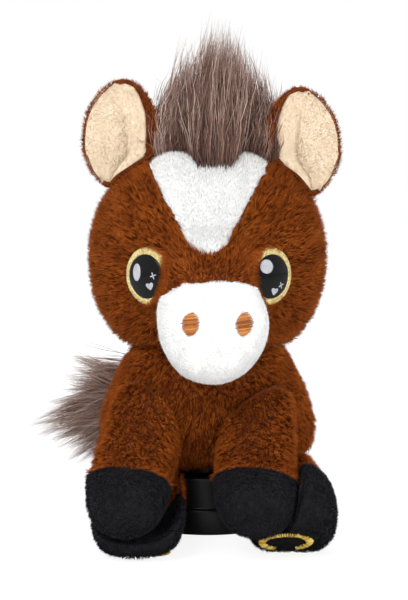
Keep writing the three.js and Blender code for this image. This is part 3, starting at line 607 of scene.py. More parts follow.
def scattered(mesh, per_mm2, fields):
    """Random points over a mesh, with the smooth normals and the fields there."""
    triangles, points = triangles_of(mesh), corners_of(mesh)
    a, b, c = (points[triangles[:, i]] for i in range(3))
    area = np.linalg.norm(np.cross(b - a, c - a), axis=1) / 2
    count = int(area.sum() * per_mm2)
    chosen = triangles[rng.choice(len(area), count, p=area / area.sum())]
    u, v = rng.random((2, count, 1))
    flip = u + v > 1
    u, v = np.where(flip, 1 - u, u), np.where(flip, 1 - v, v)

    def there(values):
        a, b, c = (values[chosen[:, i]] for i in range(3))
        return a + u * (b - a) + v * (c - a)

    return there(points), unit(there(normals_of(mesh))), there(fields)


def to_clump(points, each):
    """From each point the way to the nearest of some chosen points, one for so many."""
    middles = points[rng.choice(len(points), max(1, len(points) // each), replace=False)]
    tree = KDTree(len(middles))
    for i, middle in enumerate(middles):
        tree.insert(middle, i)
    tree.balance()
    nearest = np.array([tree.find(point)[1] for point in points])
    return middles[nearest] - points


def waves(points, size, seed, count=5):
    """A smooth field of three values that drifts over about the given size, from summed waves."""
    dice = np.random.default_rng(seed)
    total = np.zeros((len(points), 3))
    for _ in range(count):
        way = unit(dice.normal(size=(1, 3))) * (2 * math.pi / size) * dice.uniform(0.6, 1.6)
        total += np.sin(points @ way.T + dice.uniform(0, 2 * math.pi, (1, 3)))
    return total / math.sqrt(count)


def rings_round(spines, widths, aside, sides):
    """Rings of points round each spine, by strand, ring and side."""
    ahead = unit(np.gradient(spines, axis=1))
    across = unit(np.cross(ahead, aside))
    out = np.cross(ahead, across)
    turn = turns(sides)[:, None]
    ring = np.cos(turn) * across[:, :, None] + np.sin(turn) * out[:, :, None]
    return spines[:, :, None] + ring * widths[..., None, None] / 2


def band_faces(bands, sides):
    faces = []
    for band in range(bands):
        for side in range(sides):
            low, high = band * sides + side, band * sides + (side + 1) % sides
            faces.append([low, high, high + sides, low + sides])
    return faces


def alike(name, points, faces, shade):
    """A mesh of many bodies with the same faces, from each body's points and its faces' shades."""
    count, size, _ = points.shape
    corners, starts = listed(faces)
    loops = (np.arange(count)[:, None] * size + corners).ravel()
    starts = (np.arange(count)[:, None] * len(corners) + starts).ravel()
    return mesh_from(name, points.reshape(-1, 3), loops, starts, shade.ravel())


def strand_mesh(name, spines, widths, shade):
    """Tapered three-sided strands. Spines is strands by rings by 3, and shade is strands by bands."""
    count, rings, _ = spines.shape
    body = rings_round(spines, widths, rng.normal(size=(count, 1, 3)), 3)[:, :-1]
    points = np.concatenate([body.reshape(count, -1, 3), spines[:, -1:]], 1)
    last, tip = (rings - 2) * 3, (rings - 1) * 3
    ends = [[last + side, last + (side + 1) % 3, tip] for side in range(3)] + [[2, 1, 0]]
    bands = [*np.repeat(np.arange(rings - 1), 3), 0]
    return alike(name, points, band_faces(rings - 2, 3) + ends, shade[:, bands])


def tube_mesh(name, spines, widths, shade, sides=6):
    """Closed round tubes. Spines is tubes by rings by 3, and shade is one value for each tube."""
    count, rings, _ = spines.shape
    points = rings_round(spines, widths, [0.12, 0.31, 0.94], sides).reshape(count, -1, 3)
    ends = [list(range(sides))[::-1], [(rings - 1) * sides + side for side in range(sides)]]
    faces = band_faces(rings - 1, sides) + ends
    return alike(name, points, faces, np.repeat(shade, len(faces)))


def add_strands(name, spines, widths, shade, materials, body):
    """Strands as one or more pieces, none of them with more faces than the most."""
    count, rings, _ = spines.shape
    spines[..., 2] = np.maximum(spines[..., 2], PRESSED_HEIGHT)
    parts = math.ceil(count * (6 * rings - 8) / FACES_IN_PIECE)
    for part in range(parts):
        mine = slice(part, None, parts)
        mesh = strand_mesh(name, spines[mine], widths[mine], shade[mine])
        add_object(f"{name}_{part + 1}" if parts > 1 else name, mesh, materials, body)


def blocked(points, name):
    """True where a point lies in another skin."""
    result = np.zeros(len(points), bool)
    for other, skin in skins.items():
        if other == name:
            continue
        near = (points > skin["box"][0]).all(1) & (points < skin["box"][1]).all(1) & ~result
        for i in np.nonzero(near)[0]:
            at, way, _, _ = skin["outer"].find_nearest(points[i], NEAR_SKIN)
            if at is not None and (Vector(points[i]) - at).dot(way) < -0.8 * skin["depth"]:
                result[i] = True
    return result


def comb_head(points):
    return unit(points - COMB_MIDDLE) + [0, 0, -0.2]


def comb_along(*way):
    return lambda points: np.tile(way, (len(points), 1))


def comb_ear(points):
    """Out to the ear's rim from its middle, and up."""
    middle = (points.max(0) + points.min(0)) / 2
    return unit((points - middle) * [1.6, 0, 1]) + [0, 0.1, 0.25]


def shade_bands(points, count, bands, spread, seed, own=0.55, drifting=1.0):
    """For each strand and band, a shade that drifts over the fabric and lightens to the tip."""
    top = count - 1
    drift = waves(points, 14, seed)[:, 0] * 0.45 + waves(points, 3, seed + 1)[:, 0] * 0.5
    drift = drift * drifting + rng.normal(size=len(points)) * own
    lift = np.linspace(-spread, spread, bands)
    return np.clip(np.rint(top * 0.55 + drift[:, None] * top / 5 + lift * top), 0, top).astype(int)


def grow_pile(name, comb, openings=()):
    """The pile of every panel of a skin, as strand pieces for each panel."""
    skin = skins[name]
    densest = max(zone.per_mm2 for zone in skin["zones"])
    at, ways, fields = scattered(skin["mesh"], densest, skin["fields"])
    zone_at = fields[:, : len(skin["zones"])].argmin(1)
    # A last field, where a skin has one, is painted shade that darkens the strands, as in the ears'
    # creases
    painted_shade = fields[:, -1] if fields.shape[1] > len(skin["zones"]) else np.zeros(len(at))
    for index, zone in enumerate(skin["zones"]):
        mine = (zone_at == index) & (rng.random(len(at)) < zone.per_mm2 / densest)
        root, way, strand_painted_shade = at[mine], ways[mine], painted_shade[mine]
        free = ~blocked(root + way * zone.pile * 0.2, name)
        for middle, radius in openings:
            free &= np.linalg.norm(root - np.array(middle), axis=1) > radius
        root, way, strand_painted_shade = root[free], way[free], strand_painted_shade[free]
        if not len(root):
            continue
        combed = comb(root)
        combed = unit(combed - along(combed, way))
        tuft = waves(root, 9, 11) * 0.22 + waves(root, 2.8, 12) * 0.28
        tuft -= along(tuft, way)
        loose = rng.normal(size=root.shape) * 0.14
        length = zone.pile * rng.uniform(0.75, 1.15, len(root)) * (1 + 0.1 * waves(root, 8, 13)[:, 0])
        if zone.node == "head_cover":
            length *= 0.4 + 0.6 * np.clip(far_from(root, "muzzle_cover") / 6, 0, 1)
            for side in SIDES:
                length *= 1 + 0.7 * np.clip(1 - far_from(root, f"ear_lining_{side}") / 7, 0, 1)
        steps = np.array([0, 0.5, 1])[None, :, None]
        stand = way[:, None] * steps * (1.15 - 0.35 * zone.lay * steps)
        lean = (combed * zone.lay + tuft * zone.lay + loose)[:, None] * steps**1.6
        spines = root[:, None] + (stand + lean) * length[:, None, None] * 0.92
        spines += zone.clump * to_clump(root, each=14)[:, None] * steps**1.5
        spines[:, 0] -= way * 0.25
        widths = zone.width * rng.uniform(0.8, 1.25, (len(root), 1)) * [1, 0.85, 0]
        shade = shade_bands(root, len(zone.strands), 2, zone.lift, 14, zone.own, zone.drifting)
        shade = np.clip(shade + np.rint(strand_painted_shade)[:, None].astype(int), 0, len(zone.strands) - 1)
        add_strands(f"{zone.node}_pile", spines, widths, shade, zone.strands, skin["body"])


# Torso, head, legs and ears

make_skin("torso", "torso", [brown_zone("torso_cover", BODY_PILE)], ["torso_filling"])
make_core("torso_filling", "torso", CORE_INSET, fibre, skin="torso")


def fuller_head(points):
    """Draws in the low corners of the muzzle and fills the two lobes at the top of the blaze."""
    x, y, z = points.T
    low = np.clip((CHIN_TOP - z) / CHIN_HEIGHT, 0, 1.5) ** 1.3
    ahead = np.clip((CHIN_BACK - y) / CHIN_FADE, 0, 1)
    aside = (np.abs(x - LOBE_MIDDLE) - LOBE_SPREAD) / LOBE_WIDTH
    lobe = np.exp(-(aside**2) - ((y - LOBE_BACK) / LOBE_LENGTH) ** 2)
    lobe *= LOBE_HEIGHT * np.clip((z - LOBE_FOOT) / LOBE_FADE, 0, 1)
    return np.stack([x * (1 - CHIN_SHARE * low * ahead), y, z + lobe], 1)


def blaze_to_mane(points):
    """Takes the blaze from its lobes back to the mane, and draws up its tip a little."""
    x, y, z = points.T
    wide = BLAZE_SHOULDER + BLAZE_SLOPE * (z - BLAZE_SHOULDER_HEIGHT)
    inside = np.minimum(wide - np.abs(x - LOBE_MIDDLE), z - BLAZE_CROWN) / BLAZE_EDGE
    back = np.clip(inside, 0, 1) * (y < LOBE_BACK + LOBE_LENGTH)
    tip = np.clip(BLAZE_TIP - z, 0, 10)
    return np.stack([0 * back, 0.6 * tip - BLAZE_REACH * back, 0 * back], 1)


head_zones = [
    brown_zone("head_cover", HEAD_PILE),
    Zone("blaze_patch", BLAZE_PILE, *white_looks, STRAND, 7, 0.85, reach=-0.6),
    Zone("muzzle_cover", MUZZLE_PILE, *white_looks, MUZZLE_STRAND, 9, 0.7, reach=2.2),
]
eye_backs = [f"eye_{part}_{side}" for part in ("stem", "washer") for side in SIDES]
make_skin("head", "head", head_zones, ["head_filling", *eye_backs], fuller_head, blaze_to_mane)
make_core("head_filling", "head", 1.6, fibre, skin="head")
for side in SIDES:
    for leg in ("front", "hind"):
        name = f"{leg}_leg_{side}"
        zones = [brown_zone(name, BODY_PILE), hoof_zone(f"{leg}_hoof_{side}")]
        filling = f"{leg}_leg_filling_{side}"
        if leg == "hind":
            zones.append(hoof_zone(f"sole_patch_{side}", SOLE_NAP))
        make_skin(name, name, zones, [filling])
        make_core(filling, name, CORE_INSET, fibre, skin=name)


def ear_outline(side, levels):
    """The middle and half width of an ear at each height, from its root to its tip."""
    mesh = nodes[f"ear_fur_{side}"].data
    points = corners_of(mesh)
    low, high = points.min(0), points.max(0)
    start, end = (points[corner] for corner in edges_of(mesh).T)
    heights = low[2] + (high[2] - low[2]) * (1 - np.cos(np.linspace(0, math.pi, levels + 2)[1:-1])) / 2
    spans = []
    for height in heights:
        cut = (start[:, 2] - height) * (end[:, 2] - height) < 0
        share = (height - start[cut, 2]) / (end[cut, 2] - start[cut, 2])
        across = start[cut, 0] + share * (end[cut, 0] - start[cut, 0])
        spans.append((across.min(), across.max()))
    spans = np.array(spans)
    middle, half = spans.mean(1), np.ptp(spans, axis=1) / 2
    for _ in range(EAR_SMOOTHING):
        middle[1:-1] = (middle[:-2] + 2 * middle[1:-1] + middle[2:]) / 4
        square = half**2
        half[1:-1] = np.sqrt((square[:-2] + 2 * square[1:-1] + square[2:]) / 4)
    return heights, middle, half, (low, high)


def make_ear(side, levels=70, sides=120):
    """A cupped and creased ear, with its lining in front and fur at its back and round its rim."""
    heights, middle, half, (low, high) = ear_outline(side, levels)
    turn = turns(sides)
    across, front = np.cos(turn), np.sin(turn) < 0
    outer = across * SIDES[side]
    up = np.linspace(0, 1, levels)[:, None]
    crease = outer - (EAR_CREASE_ROOT + (EAR_CREASE_TIP - EAR_CREASE_ROOT) * up)
    fold = np.exp(np.where(crease > 0, -crease / EAR_CREASE_OUTER, crease / EAR_CREASE_INNER))
    fold = fold * np.clip(1.15 - 1.6 * up, 0, 1) ** 0.8
    # Painted shade in the crease: the lining's strands are drawn darker where the fold's shadow falls
    painted_shade = -EAR_CREASE_PAINTED_SHADE * np.append(fold**1.4, [0, 0])
    fold = EAR_FOLD * fold * np.clip(1.15 * half / half.max() - 0.15, 0, 1)[:, None]
    rim = (1 - across**2) * 4 * up * (1 - up)
    deep = EAR_REST + EAR_CUP * rim + np.where(front, fold * (1 - across**2) ** 0.5, 0)
    thick = EAR_THICKNESS / 2 * np.sqrt(np.abs(np.sin(turn))) * np.sign(np.sin(turn))
    deep = deep + thick * np.sqrt(4 * up * (1 - up) + 0.02)
    points = [middle[:, None] + half[:, None] * across, deep, heights[:, None] + 0 * turn]
    points = np.stack(points, -1).reshape(-1, 3)
    ends = [[middle[0], EAR_REST, low[2]], [middle[-1], EAR_REST, high[2]]]
    points = np.concatenate([points, ends])
    mesh = mesh_from(f"ear_{side}", points, *listed(ring_faces(levels, sides)))
    inner_share = LINING_INNER_SHARE + (1 - LINING_INNER_SHARE) * np.clip(1 - up / 0.45, 0, 1)
    margin = np.minimum(LINING_OUTER_SHARE - outer, outer + inner_share) * half[:, None]
    tall = high[2] - low[2]
    above = (heights[:, None] - low[2]) / tall
    margin = np.minimum(margin, np.minimum(LINING_TOP_SHARE - above, above - LINING_LOW_SHARE) * tall)
    margin = np.append(np.where(front, margin, -1), [-20, -20])
    fur, lining = f"ear_fur_{side}", f"ear_lining_{side}"
    even = {"lift": 0.03, "own": 0.12, "drifting": 0.15}
    zones = [
        Zone(fur, EAR_PILE, *brown_looks, STRAND, 6, 0.5, rise=0.3, clump=0.3),
        Zone(lining, LINING_NAP, *cream_looks, STRAND, 11, 0.7, rise=0.4, **even),
    ]
    painted_shade = np.where(margin > 0, painted_shade, 0)
    dress(f"ear_{side}", f"ear_{side}", zones, mesh, np.stack([margin, -margin, painted_shade], 1))


# Eyes


def eye_axes(side):
    turn = math.radians(SIDES[side] * EYE_YAW)
    across = np.array([math.cos(turn), math.sin(turn), 0])
    out = np.array([math.sin(turn), -math.cos(turn), 0])
    at = np.array([EYES_OFFSET + SIDES[side] * EYE_SPREAD, -EYE_FORWARD, EYE_HEIGHT])
    return at, across, np.array([0, 0, 1]), out


def set_in_eye(mesh, side):
    """Moves a mesh from the eye's own frame, with +Z out of the eye and +Y up, into its place."""
    at, across, up, out = eye_axes(side)
    local = corners_of(mesh)
    set_corners(mesh, at + local[:, :1] * across + local[:, 1:2] * up + local[:, 2:] * out)
    return mesh


bend = (EYE_RADIUS**2 + EYE_DOME**2) / (2 * EYE_DOME)


def dome(radius):
    return EYE_RIM + np.sqrt(bend**2 - np.square(radius)) - (bend - EYE_DOME)


def printed(name, outline, rings=6):
    """A thin printed patch that lies on the eye's dome, from an outline in the eye's frame."""
    outline = np.asarray(outline, float)
    middle = outline.mean(0)
    shares = np.linspace(1, 0, rings)[:-1]
    flat = np.concatenate([middle + (outline - middle) * share for share in shares] + [[middle]])
    size, count = len(outline), len(flat)
    last, sides = (rings - 2) * size, range(size)
    faces = band_faces(rings - 2, size)
    faces += [[last + i, last + (i + 1) % size, count - 1] for i in sides]
    back = [[corner + count for corner in reversed(face)] for face in faces]
    rim = [[i, i + count, (i + 1) % size + count, (i + 1) % size] for i in sides]
    height = dome(np.linalg.norm(flat, axis=1))[:, None]
    points = [np.hstack([flat, height + lift]) for lift in (PRINT_LIFT, -3 * PRINT_LIFT)]
    return mesh_from(name, np.concatenate(points), *listed(faces + back + rim))


def oval(middle, half_width, half_height, count=40):
    turn = turns(count)
    return np.stack([middle[0] + half_width * np.cos(turn), middle[1] + half_height * np.sin(turn)], 1)


def sparkle(middle, size, points=4):
    turn = turns(points * 8)
    reach = size * (0.22 + 0.78 * np.abs(np.cos(turn * points / 2)) ** 5)
    lean = turn + math.radians(20)
    return np.stack([middle[0] + reach * np.cos(lean), middle[1] + reach * np.sin(lean)], 1)


def heart(middle, size, lean, count=40):
    turn = -turns(count)
    x = size * np.sin(turn) ** 3
    y = size * (0.81 * np.cos(turn) - 0.31 * np.cos(2 * turn) - 0.13 * np.cos(3 * turn))
    c, s = math.cos(math.radians(lean)), math.sin(math.radians(lean))
    return np.stack([middle[0] + c * x - s * y, middle[1] + s * x + c * y], 1)


EYE_PRINTS = {
    "left": (oval((-3.2, 4.0), 2.9, 2.65), heart((0.8, -5.6), 1.7, -8), sparkle((4.0, -3.6), 1.5)),
    "right": (oval((-3.7, 1.4), 2.1, 3.3), heart((2.8, -3.4), 1.7, 12), sparkle((4.4, 0.6), 1.5)),
}


def make_eye(side):
    radii = np.linspace(EYE_PUPIL_RADIUS, 0, 16)
    pupil = [(0, 0), (EYE_PUPIL_RADIUS - 0.2, 0), (EYE_PUPIL_RADIUS, 0.3), *zip(radii, dome(radii))]
    inner = EYE_PUPIL_RADIUS + EYE_GAP
    ring_radii = np.linspace(EYE_RADIUS - 0.25, inner, 8)
    outer = [(EYE_RADIUS - 0.15, -0.2), (EYE_RADIUS, 0.1), (EYE_RADIUS, EYE_RIM - 0.3)]
    ring = [(0, -0.2), *outer, *zip(ring_radii, dome(ring_radii) - 0.05), (inner, -0.1), (0, -0.1)]
    flange = EYE_RADIUS - 0.2
    stem = [(0, -EYE_STEM_LENGTH), (EYE_STEM_RADIUS - 0.4, -EYE_STEM_LENGTH)]
    for step in np.arange(-EYE_STEM_LENGTH + 0.6, -3.4, 1.2):
        stem += [(EYE_STEM_RADIUS, step), (EYE_STEM_RADIUS, step + 0.6)]
        stem += [(EYE_STEM_RADIUS - 0.25, step + 0.9)]
    stem += [(EYE_STEM_RADIUS, -3), (flange, -2.6), (flange, -0.3), (0, -0.3)]
    parts = [
        ("pupil", pupil, pupil_black, "eye_black"),
        ("ring", ring, glitter, "eye_glitter"),
        ("stem", stem, hardware, "eye_hardware"),
    ]
    for part, profile, material, slot in parts:
        node = f"eye_{part}_{side}"
        mesh = set_in_eye(lathe_mesh(node, profile, EYE_SIDES), side)
        add_object(f"{node}_fine", mesh, [material], "head", [node])
    for label, outline in zip(("glint", "heart", "sparkle"), EYE_PRINTS[side]):
        name = f"eye_{label}_{side}"
        add_object(name, set_in_eye(printed(name, outline), side), [eye_print], "head")


# Nostrils, of satin stitches over the muzzle


def stitch(start, end, bulge, width, steps=7):
    """The spine and widths of one thread between two points, pressed flat at its ends."""
    share = np.linspace(0, 1, steps)[:, None]
    spine = start + (end - start) * share + bulge * np.sin(share * math.pi) ** 0.6
    return spine, width * (0.55 + 0.45 * np.sin(share[:, 0] * math.pi) ** 0.5)


def sew(node, threads, odds, materials, body):
    """A node's stitches, each with its spine and widths, in shades drawn by their odds."""
    spines, widths = (np.array(part) for part in zip(*threads))
    mesh = tube_mesh(node, spines, widths, rng.choice(3, len(threads), p=odds))
    add_object(f"{node}_stitches", mesh, materials, body, [node])


muzzle_tree = tree_of(nodes["muzzle_cover"].data)


def on_muzzle(x, z, depth):
    """The point of the muzzle's front at a place seen from the front, pushed in by a depth."""
    at = muzzle_tree.ray_cast((x, -200, z), (0, 1, 0))[0]
    return np.array(at) + [0, depth, 0]


def make_nostril(side, rows=15):
    node = f"nostril_{side}"
    low, high = (np.array(corner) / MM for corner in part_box(node))
    middle, half = (low + high) / 2, (high - low) / 2
    slant = 0.1 * half[0]
    threads = []
    for row in range(rows):
        up = -1 + 2 * (row + 0.5) / rows
        reach = half[0] * math.sqrt(1 - up * up) * rng.uniform(0.94, 1.12) + 0.1
        z = middle[2] + half[2] * up
        start = on_muzzle(middle[0] - reach, z - slant, STITCH_SEAT)
        end = on_muzzle(middle[0] + reach, z + slant, STITCH_SEAT)
        threads.append(stitch(start, end, np.array([0, -NOSTRIL_BULGE, 0]), NOSTRIL_THREAD))
    sew(node, threads, [0.3, 0.45, 0.25], tan_threads, "head")


# Horseshoes, of satin stitches across a band on each sole


def make_horseshoe(side, stitches=56):
    node = f"sole_horseshoe_{side}"
    points = corners_of(nodes[node].data)
    middle = points.mean(0)
    into = np.linalg.svd(points - middle, full_matrices=False)[2][2]
    into *= math.copysign(1, into[2])
    across = unit(np.cross([0, 1, 0], into))
    heelwards = unit(np.cross(into, across))
    u, v, w = ((points - middle) @ axis for axis in (across, heelwards, into))
    half_width = (u.max() - u.min()) / 2
    opening = math.radians(HORSESHOE_OPENING / 2)
    half_length = (v.max() - v.min()) / (1 + math.cos(opening))
    centre = middle + across * (u.max() + u.min()) / 2 + heelwards * (v.min() + half_length)
    centre += into * w.min()
    threads = []
    for angle in np.linspace(math.pi / 2 + opening, 5 * math.pi / 2 - opening, stitches):
        ends = []
        for inset in (0.0, HORSESHOE_BAND):
            inset += rng.normal() * 0.22
            x, y = (half_width - inset) * math.cos(angle), (half_length - inset) * math.sin(angle)
            ends.append(centre + across * x + heelwards * y + into * STITCH_SEAT)
        threads.append(stitch(*ends, -into * HORSESHOE_BULGE, HORSESHOE_THREAD))
    sew(node, threads, [0.2, 0.45, 0.35], gold_threads, f"hind_leg_{side}")


for make in (make_ear, make_eye, make_nostril, make_horseshoe):
    for side in SIDES:
        make(side)

# Base

inner, top = BASE_DRUM_RADIUS - BASE_WALL, BASE_HEIGHT + BASE_SPIGOT_HEIGHT
profile = [
    (0, BASE_HEIGHT - BASE_WALL),
    (inner, BASE_HEIGHT - BASE_WALL),
    (inner, 0),
    (BASE_RADIUS - 0.6, 0),
    (BASE_RADIUS, 0.8),
    (BASE_RADIUS, BASE_RIM_HEIGHT),
    (BASE_DRUM_RADIUS, BASE_RIM_HEIGHT),
    (BASE_DRUM_RADIUS, BASE_HEIGHT),
    (BASE_SPIGOT_RADIUS, BASE_HEIGHT),
    (BASE_SPIGOT_RADIUS, top),
    (0, top),
]
mesh = lathe_mesh("base_housing", rounded(profile, radius=0.7), BASE_SIDES)
add_object("base_housing_fine", mesh, [base_plastic], "torso", ["base_housing"])
nodes["base_plate"].data.materials[0] = base_plastic
for side in SIDES:
    nodes[f"eye_washer_{side}"].data.materials[0] = hardware

# Long hair


def hair(name, roots, ways, tips, body, frizz=1.0, width=STRAND, steps=7, bow=0.45):
    """Long curved strands from their roots to their tips, with a frizz that grows to the tip."""
    share = np.linspace(0, 1, steps)[None, :, None]
    reach = np.linalg.norm(tips - roots, axis=1)[:, None]
    handle = roots + ways * reach * bow
    spines = curved(roots[:, None], handle[:, None], tips[:, None], share)
    own = rng.normal(size=(len(roots), 1, 3))
    curl = waves((spines + own * 2.5).reshape(-1, 3), 11, 31).reshape(spines.shape)
    spines += (curl * 0.9 + own * 0.9 + rng.normal(size=spines.shape) * 0.22) * frizz * share
    widths = width * rng.uniform(0.75, 1.3, (len(roots), 1)) * ([1] * (steps - 2) + [0.7, 0])
    shade = shade_bands(roots, len(HAIR), steps - 1, 0.2, 33, own=0.9)
    add_strands(name, spines, widths, shade, hair_strands, body)


def root_points(count, skin, test):
    """Random root points on a skin where the test holds, with their normals."""
    at, ways, _ = scattered(skins[skin]["mesh"], 14, skins[skin]["fields"])
    chosen = rng.choice(np.nonzero(test(at))[0], count)
    return at[chosen] + rng.normal(size=(count, 3)) * 0.15, ways[chosen]


def crown_tips(roots, locks=110):
    """Each strand's tip, gathered in locks that fill the crest's outline from its root to its top."""
    place = rng.uniform(-1, 1, locks)
    top = CROWN_TOP - CROWN_FALL * np.abs(place) ** 1.7
    ends = [CROWN_TIPS_MIDDLE + CROWN_TIPS_REACH * place, -1 + rng.normal(size=locks) * 6, top]
    ends = np.stack(ends, 1) + rng.normal(size=(locks, 3)) * [1.6, 1.5, 2.4]
    across = (roots[:, 0] - HEAD_MIDDLE) / CROWN_TIPS_REACH + rng.normal(size=len(roots)) * 0.14
    lock = np.abs(across[:, None] - place[None]).argmin(1)
    share = 0.34 + 0.7 * rng.beta(1.05, 2.3, (len(roots), 1))
    tips = roots + (ends[lock] - roots) * share
    tips += rng.normal(size=roots.shape) * [1.0, 1.2, 1.0] * (1.25 - 0.75 * share)
    tips[:, 0] += 6 * np.clip((across - 0.55) / 0.45, 0, 1) * share[:, 0] ** 2
    wisp = rng.random(len(roots)) < 0.05
    tips[wisp] += rng.normal(size=(wisp.sum(), 3)) * [6, 3, 3]
    return tips


def make_crown(count=10500):
    def on_crown(at):
        x, y = at[:, 0] - CROWN_MIDDLE, at[:, 1]
        out = np.clip((np.abs(x) - CROWN_DIP) / CROWN_HEM_FADE, 0, 1)
        hem = CROWN_HEM + CROWN_HEM_RISE * out * out * (3 - 2 * out)
        within = (np.abs(x) < CROWN_HALF_WIDTH) & (at[:, 2] > CROWN_FOOT)
        return within & (y > hem) & (y < CROWN_BACK)

    roots, ways = root_points(count, "head", on_crown)
    out = (roots - [HEAD_MIDDLE, 0, 0]) * [1 / 40, 0, 0]
    lean = unit(ways * 0.25 + [0, 0.12, 1] + out)
    hair("mane_crown_hair", roots - ways * 0.8, lean, crown_tips(roots), "head")


def make_nape(count=7000):
    def on_nape(at):
        return (np.abs(at[:, 0]) < NAPE_HALF_WIDTH) & (at[:, 1] > NAPE_FRONT) & (at[:, 2] > NAPE_FOOT)

    roots, ways = root_points(count, "head", on_nape)
    down = np.array([0, 0.25, -1.0])
    length = rng.uniform(9, 17, count)[:, None]
    tips = roots + ways * length * 0.42 + unit(down - along(down, ways)) * length * 0.75
    hair("mane_nape_hair", roots - ways * 0.6, ways, tips, "head", frizz=0.7, bow=0.5)


def make_tail(count=5600, locks=30):
    angle = np.linspace(TAIL_ANGLES[0], TAIL_ANGLES[-1], locks)
    reach = np.interp(angle, TAIL_ANGLES, TAIL_REACHES) * rng.uniform(0.84, 1, locks)
    angle = np.radians(angle)
    ends = [-reach * np.cos(angle), TAIL_DEPTH * rng.normal(size=locks), reach * np.sin(angle)]
    ends = TAIL_ROOT + np.stack(ends, 1)
    lock = rng.integers(0, locks, count)
    roots = TAIL_ROOT + rng.normal(size=(count, 3)) * [2.2, 1.0, 3.0]
    share = 0.5 + 0.52 * rng.beta(1.8, 1.2, (count, 1))
    loose = np.where(rng.random((count, 1)) < 0.1, 3.0, np.maximum(2.0 - 1.8 * share, 0.25))
    tips = TAIL_ROOT + (ends[lock] - TAIL_ROOT) * share + rng.normal(size=(count, 3)) * loose
    ways = unit(np.array([-0.75, 0.62, 0.1]) + (roots - TAIL_ROOT) * 0.05)
    hair("tail_hair_strands", roots, ways, tips, "tail", frizz=0.55, width=TAIL_STRAND, bow=0.42)


def drawn_in(middle, shares):
    """Draws a core in to its middle, so that it stays under its hair."""
    return lambda points: middle + (points - middle) * shares


def squat(points):
    """Draws the crest's core in and down."""
    down = np.minimum(points[:, 2:], CROWN_CORE_TOP) - points[:, 2:]
    return points * [0.8, 1, 1] + down * [0, 0, 0.6]


tucked, gathered = drawn_in(NAPE_CORE_MIDDLE, (1, 0.93, 0.93)), drawn_in(TAIL_ROOT, (0.42, 0.5, 0.25))
make_core("mane_crown", "head", 5, hair_backing, squat)
make_core("mane_nape", "head", 4.6, hair_backing, tucked)
make_core("tail_hair", "tail", 4.5, hair_backing, gathered)


def make_collar(side, count=1900):
    """Pile of the bridge that leans out over the inner edge of an eye's ring."""
    at, across, up, out = eye_axes(side)
    middle, widest, over = COLLARS[side]
    off = rng.triangular(-widest, 0, widest, count)
    off[: count // 4] = rng.uniform(-125, 125, count // 4)
    turn = np.radians(middle + off)
    inner = -SIDES[side] * np.cos(turn)[:, None] * across + np.sin(turn)[:, None] * up
    lean = np.cos(np.radians(np.minimum(np.abs(off) * 88 / widest, 89)))[:, None] ** 0.6 * over
    ring = at + inner * (EYE_RADIUS + rng.uniform(*COLLAR_BAND, (count, 1)))
    roots = np.array([skins["head"]["tree"].find_nearest(point)[0] for point in ring])
    depth = ((roots - at) @ out)[:, None]
    reach = EYE_RADIUS - (lean + 0.3) * rng.uniform(0.6, 1.03, (count, 1))
    tips = at + inner * reach + out * (EYE_RIM + COLLAR_RISE * rng.uniform(0.5, 1.2, (count, 1)))
    handle = at + inner * (EYE_RADIUS + 1.4) + out * (np.maximum(depth, 0) + COLLAR_ARCH)
    steps = np.array([0, 0.35, 0.7, 1])[None, :, None]
    spines = curved(roots[:, None], handle[:, None], tips[:, None], steps)
    spines += rng.normal(size=(count, 1, 3)) * 0.25 * steps
    widths = BROWN_STRAND * rng.uniform(0.8, 1.25, (count, 1)) * [1, 0.9, 0.7, 0]
    shade = shade_bands(roots, len(BROWN), 3, 0.16, 14)
    add_strands(f"eye_collar_{side}", spines, widths, shade, brown_strands, "head")


openings = [(eye_axes(side)[0], EYE_RADIUS + 0.2) for side in SIDES]
for side in SIDES:
    low, high = (np.array(corner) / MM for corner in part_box(f"nostril_{side}"))
    for share in (0.35, 0.65):
        at = low + (high - low) * [0.5, 0.5, share]
        openings.append((on_muzzle(at[0], at[2], 0.8), (high[0] - low[0]) / 2))
grow_pile("torso", comb_along(0, 0.1, -1))
grow_pile("head", comb_head, openings)
for side in SIDES:
    grow_pile(f"front_leg_{side}", comb_along(0, -0.45, -0.9))
    grow_pile(f"hind_leg_{side}", comb_along(0, -1, -0.15))
    grow_pile(f"ear_{side}", comb_ear)
    make_collar(side)
make_crown()
make_nape()
make_tail()

# Studio


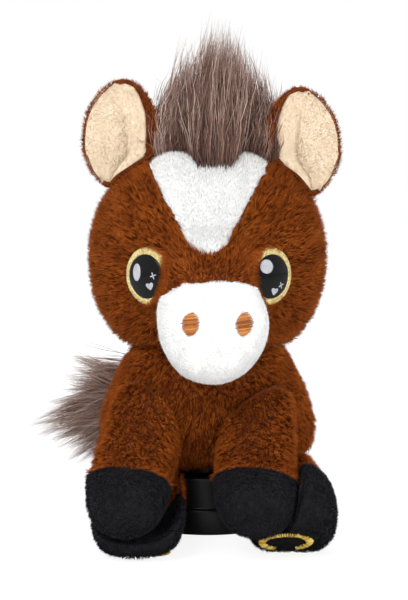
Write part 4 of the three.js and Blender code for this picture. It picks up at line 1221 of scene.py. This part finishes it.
def make_world():
    """Soft white light from all round, and plain white where the camera sees past the floor."""
    world = bpy.data.worlds.new("studio")
    bpy.context.scene.world = world
    world.use_nodes = True
    tree = world.node_tree
    tree.nodes.clear()
    rays = wired(tree, "ShaderNodeLightPath").outputs
    seen = rays["Is Camera Ray"]
    for ray in ("Is Glossy Ray", "Is Transmission Ray"):
        either = wired(tree, "ShaderNodeMath", {0: seen, 1: rays[ray]})
        either.operation = "MAXIMUM"
        seen = either.outputs[0]
    lights = {1: WORLD_LIGHT, 2: 1}
    for slot, light in lights.items():
        looks = {"Color": (1, 1, 1, 1), "Strength": light}
        lights[slot] = wired(tree, "ShaderNodeBackground", looks).outputs[0]
    mix = wired(tree, "ShaderNodeMixShader", {0: seen, **lights})
    wired(tree, "ShaderNodeOutputWorld", {"Surface": mix.outputs[0]})


def make_floor(half=2000):
    points = [(-half, -half, 0), (half, -half, 0), (half, half, 0), (-half, half, 0)]
    mesh = mesh_from("floor", points, [0, 1, 2, 3], [0])
    paper = bpy.data.materials.new("white_paper")
    paper.use_nodes = True
    tree = paper.node_tree
    tree.nodes.clear()
    seen = wired(tree, "ShaderNodeLightPath").outputs["Is Camera Ray"]
    share = wired(tree, "ShaderNodeMath", {0: seen, 1: PAPER_GLOW_SHARE})
    share.operation = "MULTIPLY"
    matt = wired(tree, "ShaderNodeBsdfDiffuse", {"Color": (0.9, 0.9, 0.9, 1)})
    glow = wired(tree, "ShaderNodeEmission", {"Strength": 1.1})
    parts = {i: node.outputs[0] for i, node in enumerate((share, matt, glow))}
    mix = wired(tree, "ShaderNodeMixShader", parts)
    wired(tree, "ShaderNodeOutputMaterial", {"Surface": mix.outputs[0]})
    mesh.materials.append(paper)
    placed("floor", mesh)


def make_camera():
    data = bpy.data.cameras.new("camera")
    data.sensor_width = SENSOR
    data.lens = CAMERA_FOCAL_PIXELS * SENSOR / PHOTO_HEIGHT
    data.clip_start, data.clip_end = 10 * MM, 20000 * MM
    made = placed("camera", data)
    made.location = Vector(CAMERA_PLACE) * MM
    made.rotation_euler = (math.radians(90 + CAMERA_PITCH), 0, 0)
    bpy.context.scene.camera = made


make_camera()
make_world()
make_floor()
for name, (place, size, watts) in LAMPS.items():
    lamp = placed(name, bpy.data.lights.new(name, "AREA"))
    lamp.data.size, lamp.data.energy = size * MM, watts
    lamp.location = Vector(place) * MM
    way = Vector(LAMP_TARGET) * MM - lamp.location
    lamp.rotation_euler = way.to_track_quat("-Z", "Y").to_euler()
bpy.context.scene.view_settings.view_transform = "Standard"
